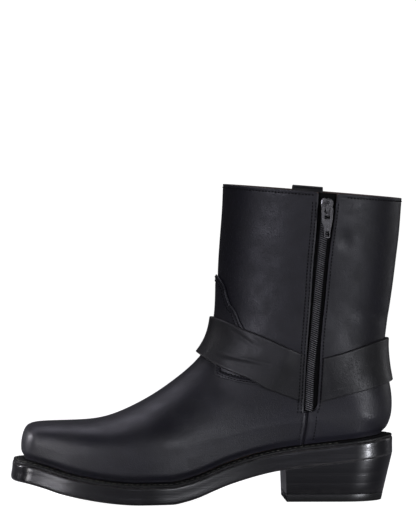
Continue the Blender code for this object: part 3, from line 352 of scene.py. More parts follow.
def readGrid(grid, turn, up):  # turn -1 to 1 with 0 at the front, up 0 at the seat to 1
    turn, up = np.broadcast_arrays(np.asarray(turn, float), np.asarray(up, float))
    turn = (turn + 1) % 2
    rows = grid.shape[0] - 1
    columns = grid.shape[1] - 1
    column = turn / 2 * columns
    row = np.clip(up, 0, 1) * rows
    c = np.floor(column).astype(int)
    r = np.clip(np.floor(row).astype(int), 0, rows - 1)
    total = 0
    for i, wr in enumerate(cubicWeights(row - r)):
        for j, wc in enumerate(cubicWeights(column - c)):
            total = total + grid[np.clip(r + i - 1, 0, rows), (c + j - 1) % columns] * (wr * wc)[..., None]
    return total


def onLast(turn, up, lift=0.0):
    return readGrid(lastGrid, turn, up) + unit(readGrid(lastNormal, turn, up)) * np.asarray(lift)[..., None]


def halved(shape, beyond):  # share from 0 to 1 where beyond turns true
    low = np.zeros(shape)
    high = np.ones(shape)
    for _ in range(26):
        middle = (low + high) / 2
        over = beyond(middle)
        high = np.where(over, middle, high)
        low = np.where(over, low, middle)
    return (low + high) / 2


def findUp(turn, line):
    def above(up):
        point = readGrid(lastGrid, turn, up)
        return point[..., 2] > line(point[..., 0])

    return halved(np.shape(turn), above)


def findTurn(up, line, side):
    def behind(share):
        point = readGrid(lastGrid, side * share * 0.999, up)
        return point[..., 0] > line(point[..., 2])

    return side * halved(np.shape(up), behind)


def sideLine(table):
    return lambda x: naturalLine(table[:, 0] * boot["soleLength"], table[:, 1] * boot["collarFront"], x)


def uprightLine(table, column, shift=0.0):
    heights = table[:, 0] * boot["collarFront"]
    return lambda z: naturalLine(heights, table[:, column] * boot["soleLength"], z) + shift


def between(low, high, share):
    return lambda x: sideLine(low)(x) * (1 - share) + sideLine(high)(x) * share


def moveOnLast(turns, ups, sideways):  # shifts a line drawn on the last by sideways metres, to its left
    step = 0.0015
    acrossTurn = (onLast(turns + step, ups) - onLast(turns - step, ups)) / (2 * step)
    low = np.clip(ups - step, 0, 1)
    high = np.clip(ups + step, 0, 1)
    acrossUp = (onLast(turns, high) - onLast(turns, low)) / (high - low)[..., None]
    along = unit(np.gradient(onLast(turns, ups), axis=0))
    wanted = np.cross(unit(np.cross(acrossUp, acrossTurn)), along) * np.asarray(sideways)[..., None]
    a = (acrossTurn * acrossTurn).sum(-1)
    b = (acrossTurn * acrossUp).sum(-1)
    c = (acrossUp * acrossUp).sum(-1)
    d = (acrossTurn * wanted).sum(-1)
    e = (acrossUp * wanted).sum(-1)
    det = a * c - b * b
    return turns + (c * d - b * e) / det, np.clip(ups + (a * e - b * d) / det, 0, 1)


# Shader helpers

def feed(tree, value, socket):  # a link or a plain value
    if isinstance(value, bpy.types.NodeSocket):
        tree.links.new(value, socket)
    else:
        socket.default_value = value


def addNode(tree, kind, settings=None, **inputs):
    made = tree.nodes.new(kind)
    for key, value in (settings or {}).items():
        setattr(made, key, value)
    for key, value in inputs.items():
        feed(tree, value, made.inputs[int(key[1:]) if key[1:].isdigit() else key.replace("_", " ")])
    return made


def mathNode(tree, operation, first, second=0.0, clamp=False):
    settings = {"operation": operation, "use_clamp": clamp}
    return addNode(tree, "ShaderNodeMath", settings, i0=first, i1=second).outputs[0]


def times(tree, first, second):
    return mathNode(tree, "MULTIPLY", first, second)


def plus(tree, first, second):
    return mathNode(tree, "ADD", first, second)


def noiseAt(tree, place, scale, detail, **more):
    return addNode(tree, "ShaderNodeTexNoise", Vector=place, Scale=scale, Detail=detail, **more).outputs[0]


def maskOf(tree, label):
    return addNode(tree, "ShaderNodeAttribute", {"attribute_name": label}).outputs["Fac"]


def spread(tree, value, low, high, toLow=0.0, toHigh=1.0, smooth=False):
    settings = {"interpolation_type": "SMOOTHSTEP" if smooth else "LINEAR"}
    return addNode(tree, "ShaderNodeMapRange", settings, Value=value, From_Min=low, From_Max=high,
        To_Min=toLow, To_Max=toHigh).outputs[0]


def mixColour(tree, share, first, second):
    first, second = ((*value, 1) if isinstance(value, tuple) else value for value in (first, second))
    return addNode(tree, "ShaderNodeMix", {"data_type": "RGBA"}, i0=share, i6=first, i7=second).outputs[2]


def newGroup(name, inputs, outputs):
    group = bpy.data.node_groups.new(name, "ShaderNodeTree")
    for label, kind, value in inputs:
        socket = group.interface.new_socket(label, in_out="INPUT", socket_type="NodeSocket" + kind)
        if value is not None:
            socket.default_value = value
    for label in outputs:
        group.interface.new_socket(label, in_out="OUTPUT", socket_type="NodeSocketFloat")
    entry = group.nodes.new("NodeGroupInput")
    leave = group.nodes.new("NodeGroupOutput")
    return group, entry.outputs, leave.inputs


def useGroup(tree, group, **inputs):
    made = tree.nodes.new("ShaderNodeGroup")
    made.node_tree = group
    for key, value in inputs.items():
        feed(tree, value, made.inputs[key.replace("_", " ")])
    return made.outputs


def makeLeatherGrain():  # fine hair pores and short wrinkles of a smooth hide
    group, given, out = newGroup("leatherGrain", [
        ("Vector", "Vector", None), ("Grain Size", "Float", 0.0011), ("Wrinkle", "Float", 0.5),
    ], ["Height", "Pores"])
    place = given["Vector"]
    scale = mathNode(group, "DIVIDE", 1.0, given["Grain Size"])
    warp = addNode(group, "ShaderNodeTexNoise", Vector=place, Scale=160.0, Detail=2.0).outputs["Color"]
    push = addNode(group, "ShaderNodeVectorMath", {"operation": "SCALE"}, i0=warp, Scale=0.0012).outputs[0]
    moved = addNode(group, "ShaderNodeVectorMath", {"operation": "ADD"}, i0=place, i1=push).outputs[0]
    cells = addNode(group, "ShaderNodeTexVoronoi", {"feature": "SMOOTH_F1"}, Vector=moved, Scale=scale,
        Smoothness=0.6)
    fine = noiseAt(group, moved, 2600.0, 3.0, Roughness=0.6)
    folds = noiseAt(group, place, 260.0, 4.0, Roughness=0.55)
    ridge = mathNode(group, "ABSOLUTE", mathNode(group, "SUBTRACT", folds, 0.5))
    crease = spread(group, ridge, 0.0, 0.06, 1.0, 0.0, True)
    pores = spread(group, cells.outputs["Distance"], 0.05, 0.45, 0.0, 1.0, True)
    height = plus(group, pores, times(group, fine, 0.5))
    height = mathNode(group, "SUBTRACT", height, times(group, crease, given["Wrinkle"]))
    group.links.new(height, out["Height"])
    group.links.new(pores, out["Pores"])
    return group


def makeWaxBloom():  # cloudy patches where oil and wax lie thicker
    group, given, out = newGroup("waxBloom", [
        ("Vector", "Vector", None), ("Patch Size", "Float", 0.03), ("Softness", "Float", 0.25),
    ], ["Cloud", "Speckle"])
    place = given["Vector"]
    scale = mathNode(group, "DIVIDE", 1.0, given["Patch Size"])
    cloud = noiseAt(group, place, scale, 4.0, Roughness=0.5)
    low = mathNode(group, "SUBTRACT", 0.5, given["Softness"])
    high = plus(group, 0.5, given["Softness"])
    group.links.new(spread(group, cloud, low, high, smooth=True), out["Cloud"])
    group.links.new(spread(group, noiseAt(group, place, 900.0, 2.0), 0.60, 0.72), out["Speckle"])
    return group


def makeScuffs():  # short rubbed strokes
    group, given, out = newGroup("scuffs", [
        ("Vector", "Vector", None), ("Length", "Float", 0.012), ("Amount", "Float", 0.5),
    ], ["Scuff"])
    place = given["Vector"]
    stretch = addNode(group, "ShaderNodeMapping", {"vector_type": "POINT"}, Vector=place,
        Rotation=(0.2, 0.5, 0.3), Scale=(1.0, 6.0, 9.0)).outputs[0]
    scale = mathNode(group, "DIVIDE", 1.0, given["Length"])
    thin = spread(group, noiseAt(group, stretch, scale, 3.0, Distortion=0.4), 0.62, 0.70)
    where = spread(group, noiseAt(group, place, 38.0, 2.0), 0.52, 0.66)
    group.links.new(times(group, times(group, thin, where), given["Amount"]), out["Scuff"])
    return group


def makeEdgeRub():  # burnish along cut edges, broken up, partly a painted highlight on the edges
    group, given, out = newGroup("edgeRub", [
        ("Vector", "Vector", None), ("Edge", "Float", 0.0), ("Break Up", "Float", 0.5),
    ], ["Rub"])
    broken = spread(group, noiseAt(group, given["Vector"], 210.0, 4.0), 0.35, 0.65)
    lost = times(group, mathNode(group, "SUBTRACT", 1.0, broken), given["Break Up"])
    keep = mathNode(group, "SUBTRACT", 1.0, lost)
    group.links.new(mathNode(group, "MULTIPLY", given["Edge"], keep, clamp=True), out["Rub"])
    return group


def makeStack():  # layers of sole leather pressed together, with the marks of the trimming cutter
    group, given, out = newGroup("stackedLayers", [
        ("Vector", "Vector", None), ("Layer", "Float", 0.0055), ("Streak", "Float", 0.5),
    ], ["Height", "Line"])
    place = given["Vector"]
    parts = addNode(group, "ShaderNodeSeparateXYZ", Vector=place)
    level = plus(group, parts.outputs["Z"], times(group, noiseAt(group, place, 22.0, 2.0), 0.0008))
    phase = mathNode(group, "FRACT", mathNode(group, "DIVIDE", level, given["Layer"]))
    middle = mathNode(group, "ABSOLUTE", mathNode(group, "SUBTRACT", phase, 0.5))
    line = spread(group, middle, 0.0, 0.045, 1.0, 0.0, True)
    flat = addNode(group, "ShaderNodeMapping", {"vector_type": "POINT"}, Vector=place,
        Scale=(18.0, 18.0, 900.0)).outputs[0]
    streak = times(group, noiseAt(group, flat, 1.0, 4.0, Roughness=0.6), given["Streak"])
    group.links.new(mathNode(group, "SUBTRACT", streak, times(group, line, 0.25)), out["Height"])
    group.links.new(line, out["Line"])
    return group


def makeWeave():  # plain woven tape
    group, given, out = newGroup("plainWeave", [
        ("Vector", "Vector", None), ("Yarn", "Float", 0.0005),
    ], ["Height", "Gap"])
    parts = addNode(group, "ShaderNodeSeparateXYZ", Vector=given["Vector"])
    turn = mathNode(group, "DIVIDE", math.pi, given["Yarn"])
    warp, weft = (mathNode(group, "SINE", times(group, parts.outputs[axis], turn)) for axis in "XZ")
    height = plus(group, times(group, times(group, warp, weft), 0.5), 0.5)
    group.links.new(height, out["Height"])
    group.links.new(spread(group, height, 0.0, 0.3, 1.0, 0.0), out["Gap"])
    return group


leatherGrain = makeLeatherGrain()
waxBloom = makeWaxBloom()
scuffs = makeScuffs()
edgeRub = makeEdgeRub()
stackedLayers = makeStack()
plainWeave = makeWeave()


def startMaterial(name, roughness, specular=0.5, metallic=0.0):
    material = bpy.data.materials.new(name)
    material.use_nodes = True
    tree = material.node_tree
    shader = tree.nodes["Principled BSDF"]
    shader.inputs["Roughness"].default_value = roughness
    shader.inputs["Specular IOR Level"].default_value = specular
    shader.inputs["Metallic"].default_value = metallic
    place = tree.nodes.new("ShaderNodeTexCoord").outputs["Object"]
    return material, tree, shader, place


def bumpOf(tree, shader, height, strength, distance):
    bump = addNode(tree, "ShaderNodeBump", Height=height, Strength=strength, Distance=distance)
    tree.links.new(bump.outputs[0], shader.inputs["Normal"])


def leatherMaterial(name, dark, light, rubAndSheenColour, roughness, wet, grain, wrinkle, patch, scuffed, specular=0.5):
    material, tree, shader, place = startMaterial(name, roughness, specular)
    bloom = useGroup(tree, waxBloom, Vector=place, Patch_Size=patch, Softness=0.25)
    hide = useGroup(tree, leatherGrain, Vector=place, Grain_Size=grain, Wrinkle=wrinkle)
    scuff = useGroup(tree, scuffs, Vector=place, Amount=scuffed)["Scuff"]
    rubAndSheen = useGroup(tree, edgeRub, Vector=place, Edge=maskOf(tree, "edge"), Break_Up=0.55)["Rub"]
    colour = mixColour(tree, bloom["Cloud"], dark, light)
    colour = mixColour(tree, times(tree, bloom["Speckle"], 0.25), colour, light)
    # scuffs and rubbed edges turn lighter; along the edges this is partly a painted highlight
    colour = mixColour(tree, mathNode(tree, "MAXIMUM", scuff, rubAndSheen, clamp=True), colour, rubAndSheenColour)
    tree.links.new(colour, shader.inputs["Base Color"])
    rough = spread(tree, bloom["Cloud"], 0.0, 1.0, roughness, wet)
    rough = plus(tree, plus(tree, rough, times(tree, hide["Pores"], -0.05)), times(tree, scuff, 0.12))
    rough = mathNode(tree, "SUBTRACT", rough, times(tree, rubAndSheen, 0.10), clamp=True)
    tree.links.new(rough, shader.inputs["Roughness"])
    bumpOf(tree, shader, plus(tree, hide["Height"], times(tree, bloom["Cloud"], 0.9)), 0.6, 0.00010)
    return material


upperLeather = leatherMaterial("oiledUpperLeather", (0.0034, 0.0032, 0.0058), (0.0070, 0.0067, 0.0112),
    (0.024, 0.024, 0.027), 0.58, 0.46, 0.0010, 0.35, 0.013, 0.5)
strapLeather = leatherMaterial("strapLeather", (0.0036, 0.0036, 0.0042), (0.0085, 0.0085, 0.0095),
    (0.036, 0.035, 0.035), 0.57, 0.45, 0.0012, 0.55, 0.012, 0.6)
# the welt's black is set darker than the sole edge's, partly painted shade in the gap under the upper
weltLeather = leatherMaterial("weltLeather", (0.0010, 0.0010, 0.0010), (0.0025, 0.0024, 0.0023),
    (0.014, 0.014, 0.014), 0.72, 0.62, 0.0014, 0.6, 0.02, 0.4, 0.25)
liningLeather = leatherMaterial("liningLeather", (0.030, 0.020, 0.015), (0.060, 0.041, 0.031),
    (0.20, 0.13, 0.11), 0.72, 0.62, 0.0013, 0.7, 0.025, 0.3)
insoleLeather = leatherMaterial("insoleLeather", (0.17, 0.105, 0.058), (0.26, 0.17, 0.10),
    (0.32, 0.23, 0.15), 0.70, 0.55, 0.0013, 0.6, 0.03, 0.4)


def soleMaterial(name, dark, light, roughness, wet, layer, streak, coat, specular=0.30):
    material, tree, shader, place = startMaterial(name, roughness, specular)
    shader.inputs["Coat Weight"].default_value = coat
    shader.inputs["Coat Roughness"].default_value = 0.14
    layers = useGroup(tree, stackedLayers, Vector=place, Layer=layer, Streak=streak)
    bloom = useGroup(tree, waxBloom, Vector=place, Patch_Size=0.05, Softness=0.35)
    rubAndSheen = useGroup(tree, edgeRub, Vector=place, Edge=maskOf(tree, "edge"), Break_Up=0.6)["Rub"]
    colour = mixColour(tree, bloom["Cloud"], dark, light)
    colour = mixColour(tree, times(tree, layers["Line"], 0.25), colour, (0.014, 0.013, 0.012))
    # rubbed edges turn lighter, partly a painted highlight on the bevels
    colour = mixColour(tree, rubAndSheen, colour, (0.045, 0.043, 0.042))
    tree.links.new(colour, shader.inputs["Base Color"])
    rough = spread(tree, bloom["Cloud"], 0.0, 1.0, roughness, wet)
    tree.links.new(rough, shader.inputs["Roughness"])
    bumpOf(tree, shader, layers["Height"], 0.55, 0.00012)
    return material


soleEdge = soleMaterial("waxedSoleEdge", (0.0016, 0.0016, 0.0022), (0.0040, 0.0039, 0.0046), 0.36, 0.30,
    0.0070, 1.2, 0.12)
heelStack = soleMaterial("inkedHeelStack", (0.0016, 0.0016, 0.0022), (0.0038, 0.0037, 0.0044), 0.36, 0.30,
    0.0062, 0.5, 0.12)
liftRubber = soleMaterial("liftRubber", (0.0022, 0.0022, 0.0022), (0.0045, 0.0045, 0.0045), 0.46, 0.38,
    0.0200, 0.5, 0.0)


def makeTapeFabric():
    material, tree, shader, place = startMaterial("zipTapeFabric", 0.90, 0.15)
    weave = useGroup(tree, plainWeave, Vector=place, Yarn=0.00045)
    # the gaps between the yarns are painted darker, painted shade between the yarns
    tree.links.new(mixColour(tree, weave["Gap"], (0.0040, 0.0040, 0.0040), (0.0010, 0.0010, 0.0010)),
        shader.inputs["Base Color"])
    bumpOf(tree, shader, weave["Height"], 0.7, 0.00012)
    return material


def makeNylon():
    material, tree, shader, place = startMaterial("zipNylon", 0.32)
    bloom = useGroup(tree, waxBloom, Vector=place, Patch_Size=0.004, Softness=0.25)
    bare = mixColour(tree, bloom["Cloud"], (0.16, 0.16, 0.165), (0.30, 0.30, 0.305))
    # the coil is painted light where it faces outwards and near black on its sides, underside and far coil:
    # painted highlight and painted shade
    colour = mixColour(tree, spread(tree, maskOf(tree, "crown"), 0.45, 0.92), (0.006, 0.006, 0.007), bare)
    tree.links.new(colour, shader.inputs["Base Color"])
    tree.links.new(spread(tree, bloom["Speckle"], 0.0, 1.0, 0.30, 0.42), shader.inputs["Roughness"])
    return material


def makeNickel():
    material, tree, shader, place = startMaterial("platedMetal", 0.24, 0.5, 1.0)
    bloom = useGroup(tree, waxBloom, Vector=place, Patch_Size=0.0035, Softness=0.25)
    tree.links.new(mixColour(tree, bloom["Cloud"], (0.11, 0.109, 0.11), (0.30, 0.297, 0.294)),
        shader.inputs["Base Color"])
    scratch = useGroup(tree, scuffs, Vector=place, Length=0.002, Amount=1.0)["Scuff"]
    rough = plus(tree, spread(tree, bloom["Cloud"], 0.0, 1.0, 0.30, 0.20), times(tree, scratch, 0.15))
    tree.links.new(rough, shader.inputs["Roughness"])
    bumpOf(tree, shader, times(tree, scratch, -1.0), 0.3, 0.00003)
    return material


def makeThread(name, colour, lighter):
    material, tree, shader, place = startMaterial(name, 0.75, 0.2)
    twist = noiseAt(tree, place, 2400.0, 2.0)
    tree.links.new(mixColour(tree, spread(tree, twist, 0.35, 0.65), colour, lighter),
        shader.inputs["Base Color"])
    bumpOf(tree, shader, twist, 0.6, 0.00006)
    return material


tapeFabric = makeTapeFabric()
zipNylon = makeNylon()
platedMetal = makeNickel()
upperThread = makeThread("upperThread", (0.0012, 0.0012, 0.0013), (0.0045, 0.0045, 0.0050))
weltThread = makeThread("weltThread", (0.030, 0.031, 0.025), (0.075, 0.077, 0.062))
print("materials ready")


# Meshes

def newPiece(name, verts, faces, material, replaces=(), masks=None, outwards=None, sharp=None):
    verts = np.asarray(verts, float).reshape(-1, 3)
    faces = [tuple(int(i) for i in face) for face in faces]
    if outwards is not None:  # turns every face round if most of them look inwards
        score = 0.0
        for face in faces[:: max(1, len(faces) // 400)]:
            a, b, c = (verts[i] for i in face[:3])
            out = outwards(verts[list(face)].mean(0), face)
            score += float(np.dot(np.cross(b - a, c - a), out) > 0) - 0.5
        if score < 0:
            faces = [face[::-1] for face in faces]
    mesh = bpy.data.meshes.new(name)
    mesh.from_pydata(verts.tolist(), [], faces)
    mesh.shade_smooth()
    if sharp:
        mesh.set_sharp_from_angle(angle=math.radians(sharp))
    for label, values in (masks or {}).items():
        layer = mesh.attributes.new(label, "FLOAT", "POINT")
        layer.data.foreach_set("value", np.asarray(values, np.float32).ravel())
    mesh.materials.append(material)
    thing = bpy.data.objects.new(name, mesh)
    bpy.context.scene.collection.objects.link(thing)
    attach(thing, "boot")
    if replaces:
        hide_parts(*replaces)


def gridFaces(rows, columns, start=0, closed=False):
    r, c = np.meshgrid(np.arange(rows - 1), np.arange(columns if closed else columns - 1), indexing="ij")
    d = (c + 1) % columns
    a = start + r * columns
    return np.stack([a + c, a + d, a + columns + d, a + columns + c], -1).reshape(-1, 4).tolist()


def closedSheet(near, far):  # two skins and the rim between them
    rows, columns = near.shape[:2]
    shift = rows * columns
    faces = gridFaces(rows, columns) + [face[::-1] for face in gridFaces(rows, columns, shift)]
    rim = list(range(columns)) + [r * columns + columns - 1 for r in range(1, rows)]
    rim += [(rows - 1) * columns + c for c in range(columns - 2, -1, -1)]
    rim += [r * columns for r in range(rows - 2, 0, -1)]
    faces += [(b, a, a + shift, b + shift) for a, b in zip(rim, rim[1:] + rim[:1])]
    return np.concatenate([near.reshape(-1, 3), far.reshape(-1, 3)]), faces


def tubeFaces(start, rings, sides):  # rings of points joined up, with both ends closed
    faces = []
    for r in range(rings - 1):
        i = start + r * sides
        for j in range(sides):
            d = (j + 1) % sides
            faces.append((i + j, i + d, i + sides + d, i + sides + j))
    faces.append(tuple(start + j for j in range(sides))[::-1])
    faces.append(tuple(start + (rings - 1) * sides + j for j in range(sides)))
    return faces


def readAlong(where, length, values):
    return np.stack([np.interp(where, length, values[:, i]) for i in range(3)], -1)


def lengthAlong(points):
    return np.concatenate([[0], np.cumsum(np.linalg.norm(np.diff(points, axis=0), axis=1))])


def evenShares(density, count):
    total = np.concatenate([[0], np.cumsum((density[1:] + density[:-1]) / 2)])
    return np.interp(np.linspace(0, total[-1], count + 1), total, np.linspace(0, 1, len(density)))


# Upper: one sheet from the zip's front edge round the toe and the heel to its back edge
upperCut = {
    "columns": 330,
    "rows": 250,
    "zipFoot": 0.2835,
    "slotCorner": 7.0 * mm,
    "seamGap": 0.25 * mm,
    "seamDip": 0.9 * mm,
    "outerSeam": 0.735,
    "wave": 0.16 * mm,
    "skinDepth": 1.4 * mm,
    "seatTuck": 1.8 * mm,
    "seatDrop": 0.5 * mm,
    "tuckReach": 6.0 * mm,
    "rimRound": 4.0 * mm,
    "rimDrop": 1.8 * mm,
}


def slotTurns(ups):  # turns of the zip's front edge, back edge and the outer seam on each row
    opened = []
    foot = upperCut["zipFoot"] * boot["collarFront"]
    middle = findTurn(ups, uprightLine(underSeamTable, 1), -1)
    height = readGrid(lastGrid, middle, ups)[:, 2]
    share = rounding(np.clip(height - foot, 0, None), upperCut["slotCorner"], 2.6)
    for column, gap in ((1, -1), (2, 1)):
        edge = findTurn(ups, uprightLine(zipTable, column), -1)
        seam = findTurn(ups, uprightLine(underSeamTable, 1, gap * upperCut["seamGap"] / 2), -1)
        opened.append(seam + (edge - seam) * share)
    outer = findTurn(ups, uprightLine(outerSeamTable, 1), 1)
    return opened[0], opened[1], outer


def sheetTurns(shares, front, back, outer):
    mark = upperCut["outerSeam"]
    first = front[:, None] + (outer - front)[:, None] * np.clip(shares / mark, 0, 1)
    rest = (2 + back - outer)[:, None] * np.clip((shares - mark) / (1 - mark), 0, 1)
    return first + rest


# Soft troughs and ridges: side, start and end in shares of sole length and collar height, width, and depth
# with ridges above 0
creases = [
    (-1, (0.020, 0.800), (0.014, 0.855), 5.0 * mm, -1.0 * mm),
    (-1, (-0.060, 0.560), (-0.150, 0.600), 9.0 * mm, -0.45 * mm),
    (-1, (-0.235, 0.640), (-0.160, 0.585), 8.0 * mm, 0.35 * mm),
    (-1, (-0.250, 0.720), (-0.180, 0.700), 10.0 * mm, -0.35 * mm),
    (-1, (0.060, 0.610), (0.130, 0.575), 6.0 * mm, -0.55 * mm),
    (-1, (0.050, 0.570), (0.120, 0.545), 6.0 * mm, 0.30 * mm),
    (-1, (-0.300, 0.360), (-0.240, 0.290), 7.0 * mm, -0.50 * mm),
    (-1, (-0.350, 0.370), (-0.300, 0.300), 7.0 * mm, 0.30 * mm),
    (-1, (-0.455, 0.285), (-0.400, 0.215), 9.0 * mm, -0.60 * mm),
    (-1, (-0.500, 0.255), (-0.450, 0.190), 9.0 * mm, 0.35 * mm),
    (-1, (-0.545, 0.215), (-0.510, 0.150), 8.0 * mm, -0.45 * mm),
    (1, (-0.300, 0.360), (-0.240, 0.290), 7.0 * mm, -0.50 * mm),
    (1, (-0.455, 0.285), (-0.400, 0.215), 9.0 * mm, -0.60 * mm),
    (1, (-0.500, 0.255), (-0.450, 0.190), 9.0 * mm, 0.35 * mm),
    (1, (-0.545, 0.215), (-0.510, 0.150), 8.0 * mm, -0.45 * mm),
    (1, (0.040, 0.640), (0.120, 0.600), 7.0 * mm, -0.50 * mm),
    (1, (-0.200, 0.690), (-0.120, 0.660), 9.0 * mm, -0.45 * mm),
]


def creaseLift(points, side, table):
    lift = np.zeros(points.shape[:-1])
    scale = np.array([boot["soleLength"], boot["collarFront"]])
    flat = points[..., [0, 2]]
    for where, start, end, width, depth in table:
        a = np.array(start) * scale
        b = np.array(end) * scale
        step = b - a
        t = ((flat - a) @ step) / (step @ step)
        near = a + np.clip(t, 0, 1)[..., None] * step
        gap = np.linalg.norm(flat - near, axis=-1)
        fade = hump(gap, 0, width) * np.clip(1.15 - np.abs(np.clip(t, -0.2, 1.2) - 0.5) * 1.3, 0, 1)
        lift += depth * fade * (side == where)
    return lift


def gentleWave(points):  # a hide never lies quite flat
    x, y, z = (points[..., i] / mm for i in range(3))
    return (
        np.sin(x / 11.3 + 0.7 * np.sin(z / 17.1) + 1.3) * np.sin(z / 13.7 + 0.5 * np.sin(y / 9.0))
        + 0.6 * np.sin(x / 6.1 - z / 9.2 + 0.4) * np.sin(y / 8.3 + z / 11.9)
    ) / 1.6


def tuckAt(points):  # the upper draws in over the welt, less so round the heel
    return upperCut["seatTuck"] * (1 - 0.65 * eased((points[..., 0] + 75 * mm) / (40 * mm)))


def makeUpper():
    s = np.linspace(0, 1, 4001)
    mark = upperCut["outerSeam"]
    density = 1 + 7 * hump(s, 0, 0.007) + 7 * hump(s, 1, 0.007) + 5 * hump(s, mark, 0.005)
    shares = evenShares(density, upperCut["columns"])
    steps = np.linalg.norm(np.diff(lastGrid, axis=0), axis=2)
    reach = np.concatenate([[0], np.cumsum(steps.mean(1) + 0.5 * steps.max(1))])
    reach /= reach[-1]
    u = np.linspace(0, 1, 4001)
    along = np.interp(u, np.linspace(0, 1, len(reach)), reach)
    weight = np.gradient(along, u) + 1.6 * hump(u, 1, 0.02)
    ups = evenShares(weight, upperCut["rows"])
    front, back, outer = slotTurns(ups)
    turns = sheetTurns(shares, front, back, outer)
    grid = np.broadcast_to(ups[:, None], turns.shape)
    points = onLast(turns, grid)
    side = np.where(points[..., 1] < 0, -1, 1)
    lift = creaseLift(points, side, creases) + upperCut["wave"] * gentleWave(points)
    rimGap = np.linalg.norm(points - points[-1:], axis=2)
    lift = lift * eased(rimGap / (9 * mm)) - 0.22 * mm * hump(rimGap, 2.3 * mm, 0.8 * mm)
    seatGap = np.linalg.norm(points - points[:1], axis=2)
    lift = lift * eased(seatGap / (8 * mm)) - tuckAt(points) * (1 - eased(seatGap / upperCut["tuckReach"]))
    straps = np.zeros(points.shape[:-1])
    zones = ((frontStrapFoot, frontStrapTop, -1, -0.04), (backStrapFoot, backStrapTop, -0.06, 1))
    for foot, top, low, high in zones:
        inside = eased((points[..., 2] - sideLine(foot)(points[..., 0]) + 4 * mm) / (4 * mm))
        inside = inside * eased((sideLine(top)(points[..., 0]) + 4 * mm - points[..., 2]) / (4 * mm))
        zone = (points[..., 0] > low * boot["soleLength"]) & (points[..., 0] < high * boot["soleLength"])
        straps = np.maximum(straps, inside * zone)
    lift = np.minimum(lift, lift * (1 - straps) + 0.1 * mm)
    toFront = np.linalg.norm(points - points[:, :1], axis=2)
    toBack = np.linalg.norm(points - points[:, -1:], axis=2)
    column = int(np.argmin(np.abs(shares - mark)))
    toOuter = np.linalg.norm(points - points[:, column : column + 1], axis=2)
    closed = 1 - eased((points[:, 0, 2] - upperCut["zipFoot"] * boot["collarFront"]) / (4 * mm))[:, None]
    edge = np.minimum(toFront, toBack)
    lift = lift * eased(edge / (6 * mm))
    lift -= (0.25 * mm + upperCut["seamDip"] * closed) * hump(edge, 0, 0.9 * mm)
    lift += 0.28 * mm * hump(edge, 2.6 * mm, 1.6 * mm) * closed
    lift += 0.2 * mm * hump(toOuter, 2.4 * mm, 1.5 * mm) - 0.7 * mm * hump(toOuter, 0, 0.8 * mm)
    # lighter rub on the cut edges at the zip, the collar rim and the outer seam's ridge, partly a painted
    # highlight on them
    rubAndSheen = 0.75 * hump(edge, 0, 0.8 * mm) * (1 - closed) + 0.5 * hump(rimGap, 0, 0.7 * mm)
    rubAndSheen = np.maximum(rubAndSheen, 0.22 * hump(toOuter, 1.6 * mm, 0.7 * mm))
    body = onLast(turns, grid, lift)
    # the collar's corners at the zip are rounded off
    corner = 1 - rounding(edge[-1:], upperCut["rimRound"], 2.2)
    body[..., 2] -= upperCut["rimDrop"] * corner * eased(1 - rimGap / (10 * mm))
    normal = unit(readGrid(lastNormal, turns, grid))
    turned = []  # the cut edges at the zip turn in
    for last, inner in ((0, 1), (-1, -2)):
        outward = unit(body[:, last] - body[:, inner]) * (1 - closed)
        strips = [body[:, last] + outward * out - normal[:, last] * down for out, down in (
            (0.20 * mm, 0.25 * mm), (0.24 * mm, 0.8 * mm), (0.0, upperCut["skinDepth"]),
        )]
        turned.append(np.stack(strips, 1))
    full = np.concatenate([turned[0][:, ::-1], body, turned[1]], axis=1)
    fullNormal, rubAndSheen = (
        np.concatenate([np.repeat(values[:, :1], 3, 1), values, np.repeat(values[:, -1:], 3, 1)], axis=1)
        for values in (normal, rubAndSheen)
    )
    rise = np.array([0, 0, 1.0])
    rim = [full[-1] + rise * up - fullNormal[-1] * down for up, down in (
        (0.22 * mm, 0.2 * mm), (0.30 * mm, 0.6 * mm), (0.22 * mm, 1.05 * mm),
        (-0.1 * mm, upperCut["skinDepth"]),
    )]
    sunk = full[0] - rise * upperCut["seatDrop"] - fullNormal[0] * 0.1 * mm
    tuck = [sunk - fullNormal[0] * 1.5 * mm, sunk]
    verts = np.concatenate([np.stack(tuck), full, np.stack(rim)])
    rubAndSheen = np.concatenate([rubAndSheen[:1] * 0, rubAndSheen[:1] * 0, rubAndSheen, np.repeat(rubAndSheen[-1:], 4, 0)])
    rows, columns = verts.shape[:2]
    outside = np.concatenate([fullNormal[:1], fullNormal[:1], fullNormal, np.repeat(fullNormal[-1:], 4, 0)])
    outside = outside.reshape(-1, 3)
    newPiece("upperShell", verts, gridFaces(rows, columns), upperLeather,
        replaces=("upper",), masks={"edge": rubAndSheen}, outwards=lambda middle, face: outside[face[0]])


def makeLining():
    ups = np.concatenate([np.linspace(0.05, 0.97, 70), np.linspace(0.975, 1.0, 6)])
    shares = np.linspace(0, 1, 121)
    front, back, outer = slotTurns(ups)
    turns = sheetTurns(shares, front, back, outer)
    grid = np.broadcast_to(ups[:, None], turns.shape)
    points = onLast(turns, grid)
    seatGap = np.linalg.norm(points - onLast(turns, 0 * grid), axis=2)
    tuck = 1.2 * tuckAt(points) * (1 - eased(seatGap / (1.3 * upperCut["tuckReach"])))
    near = onLast(turns, grid, -upperCut["skinDepth"] - 0.05 * mm - tuck)
    far = onLast(turns, grid, -boot["leather"] - 0.05 * mm - tuck)
    near[-1, :, 2] += 0.05 * mm
    far[-1, :, 2] -= 0.10 * mm
    verts, faces = closedSheet(near, far)
    # the lining's top rim is lighter, partly a painted highlight on it
    edge = np.zeros((2, *turns.shape))
    edge[:, -1] = 0.6
    outside = readGrid(lastNormal, turns, grid).reshape(-1, 3)
    outside = np.concatenate([outside, -outside])

    def facing(middle, face):
        onRim = min(face) < turns.size <= max(face)
        return -middle if onRim else outside[face[0]]

    newPiece("shaftLining", verts, faces, liningLeather, masks={"edge": edge},
        outwards=facing)


makeUpper()
makeLining()
print("upper ready")


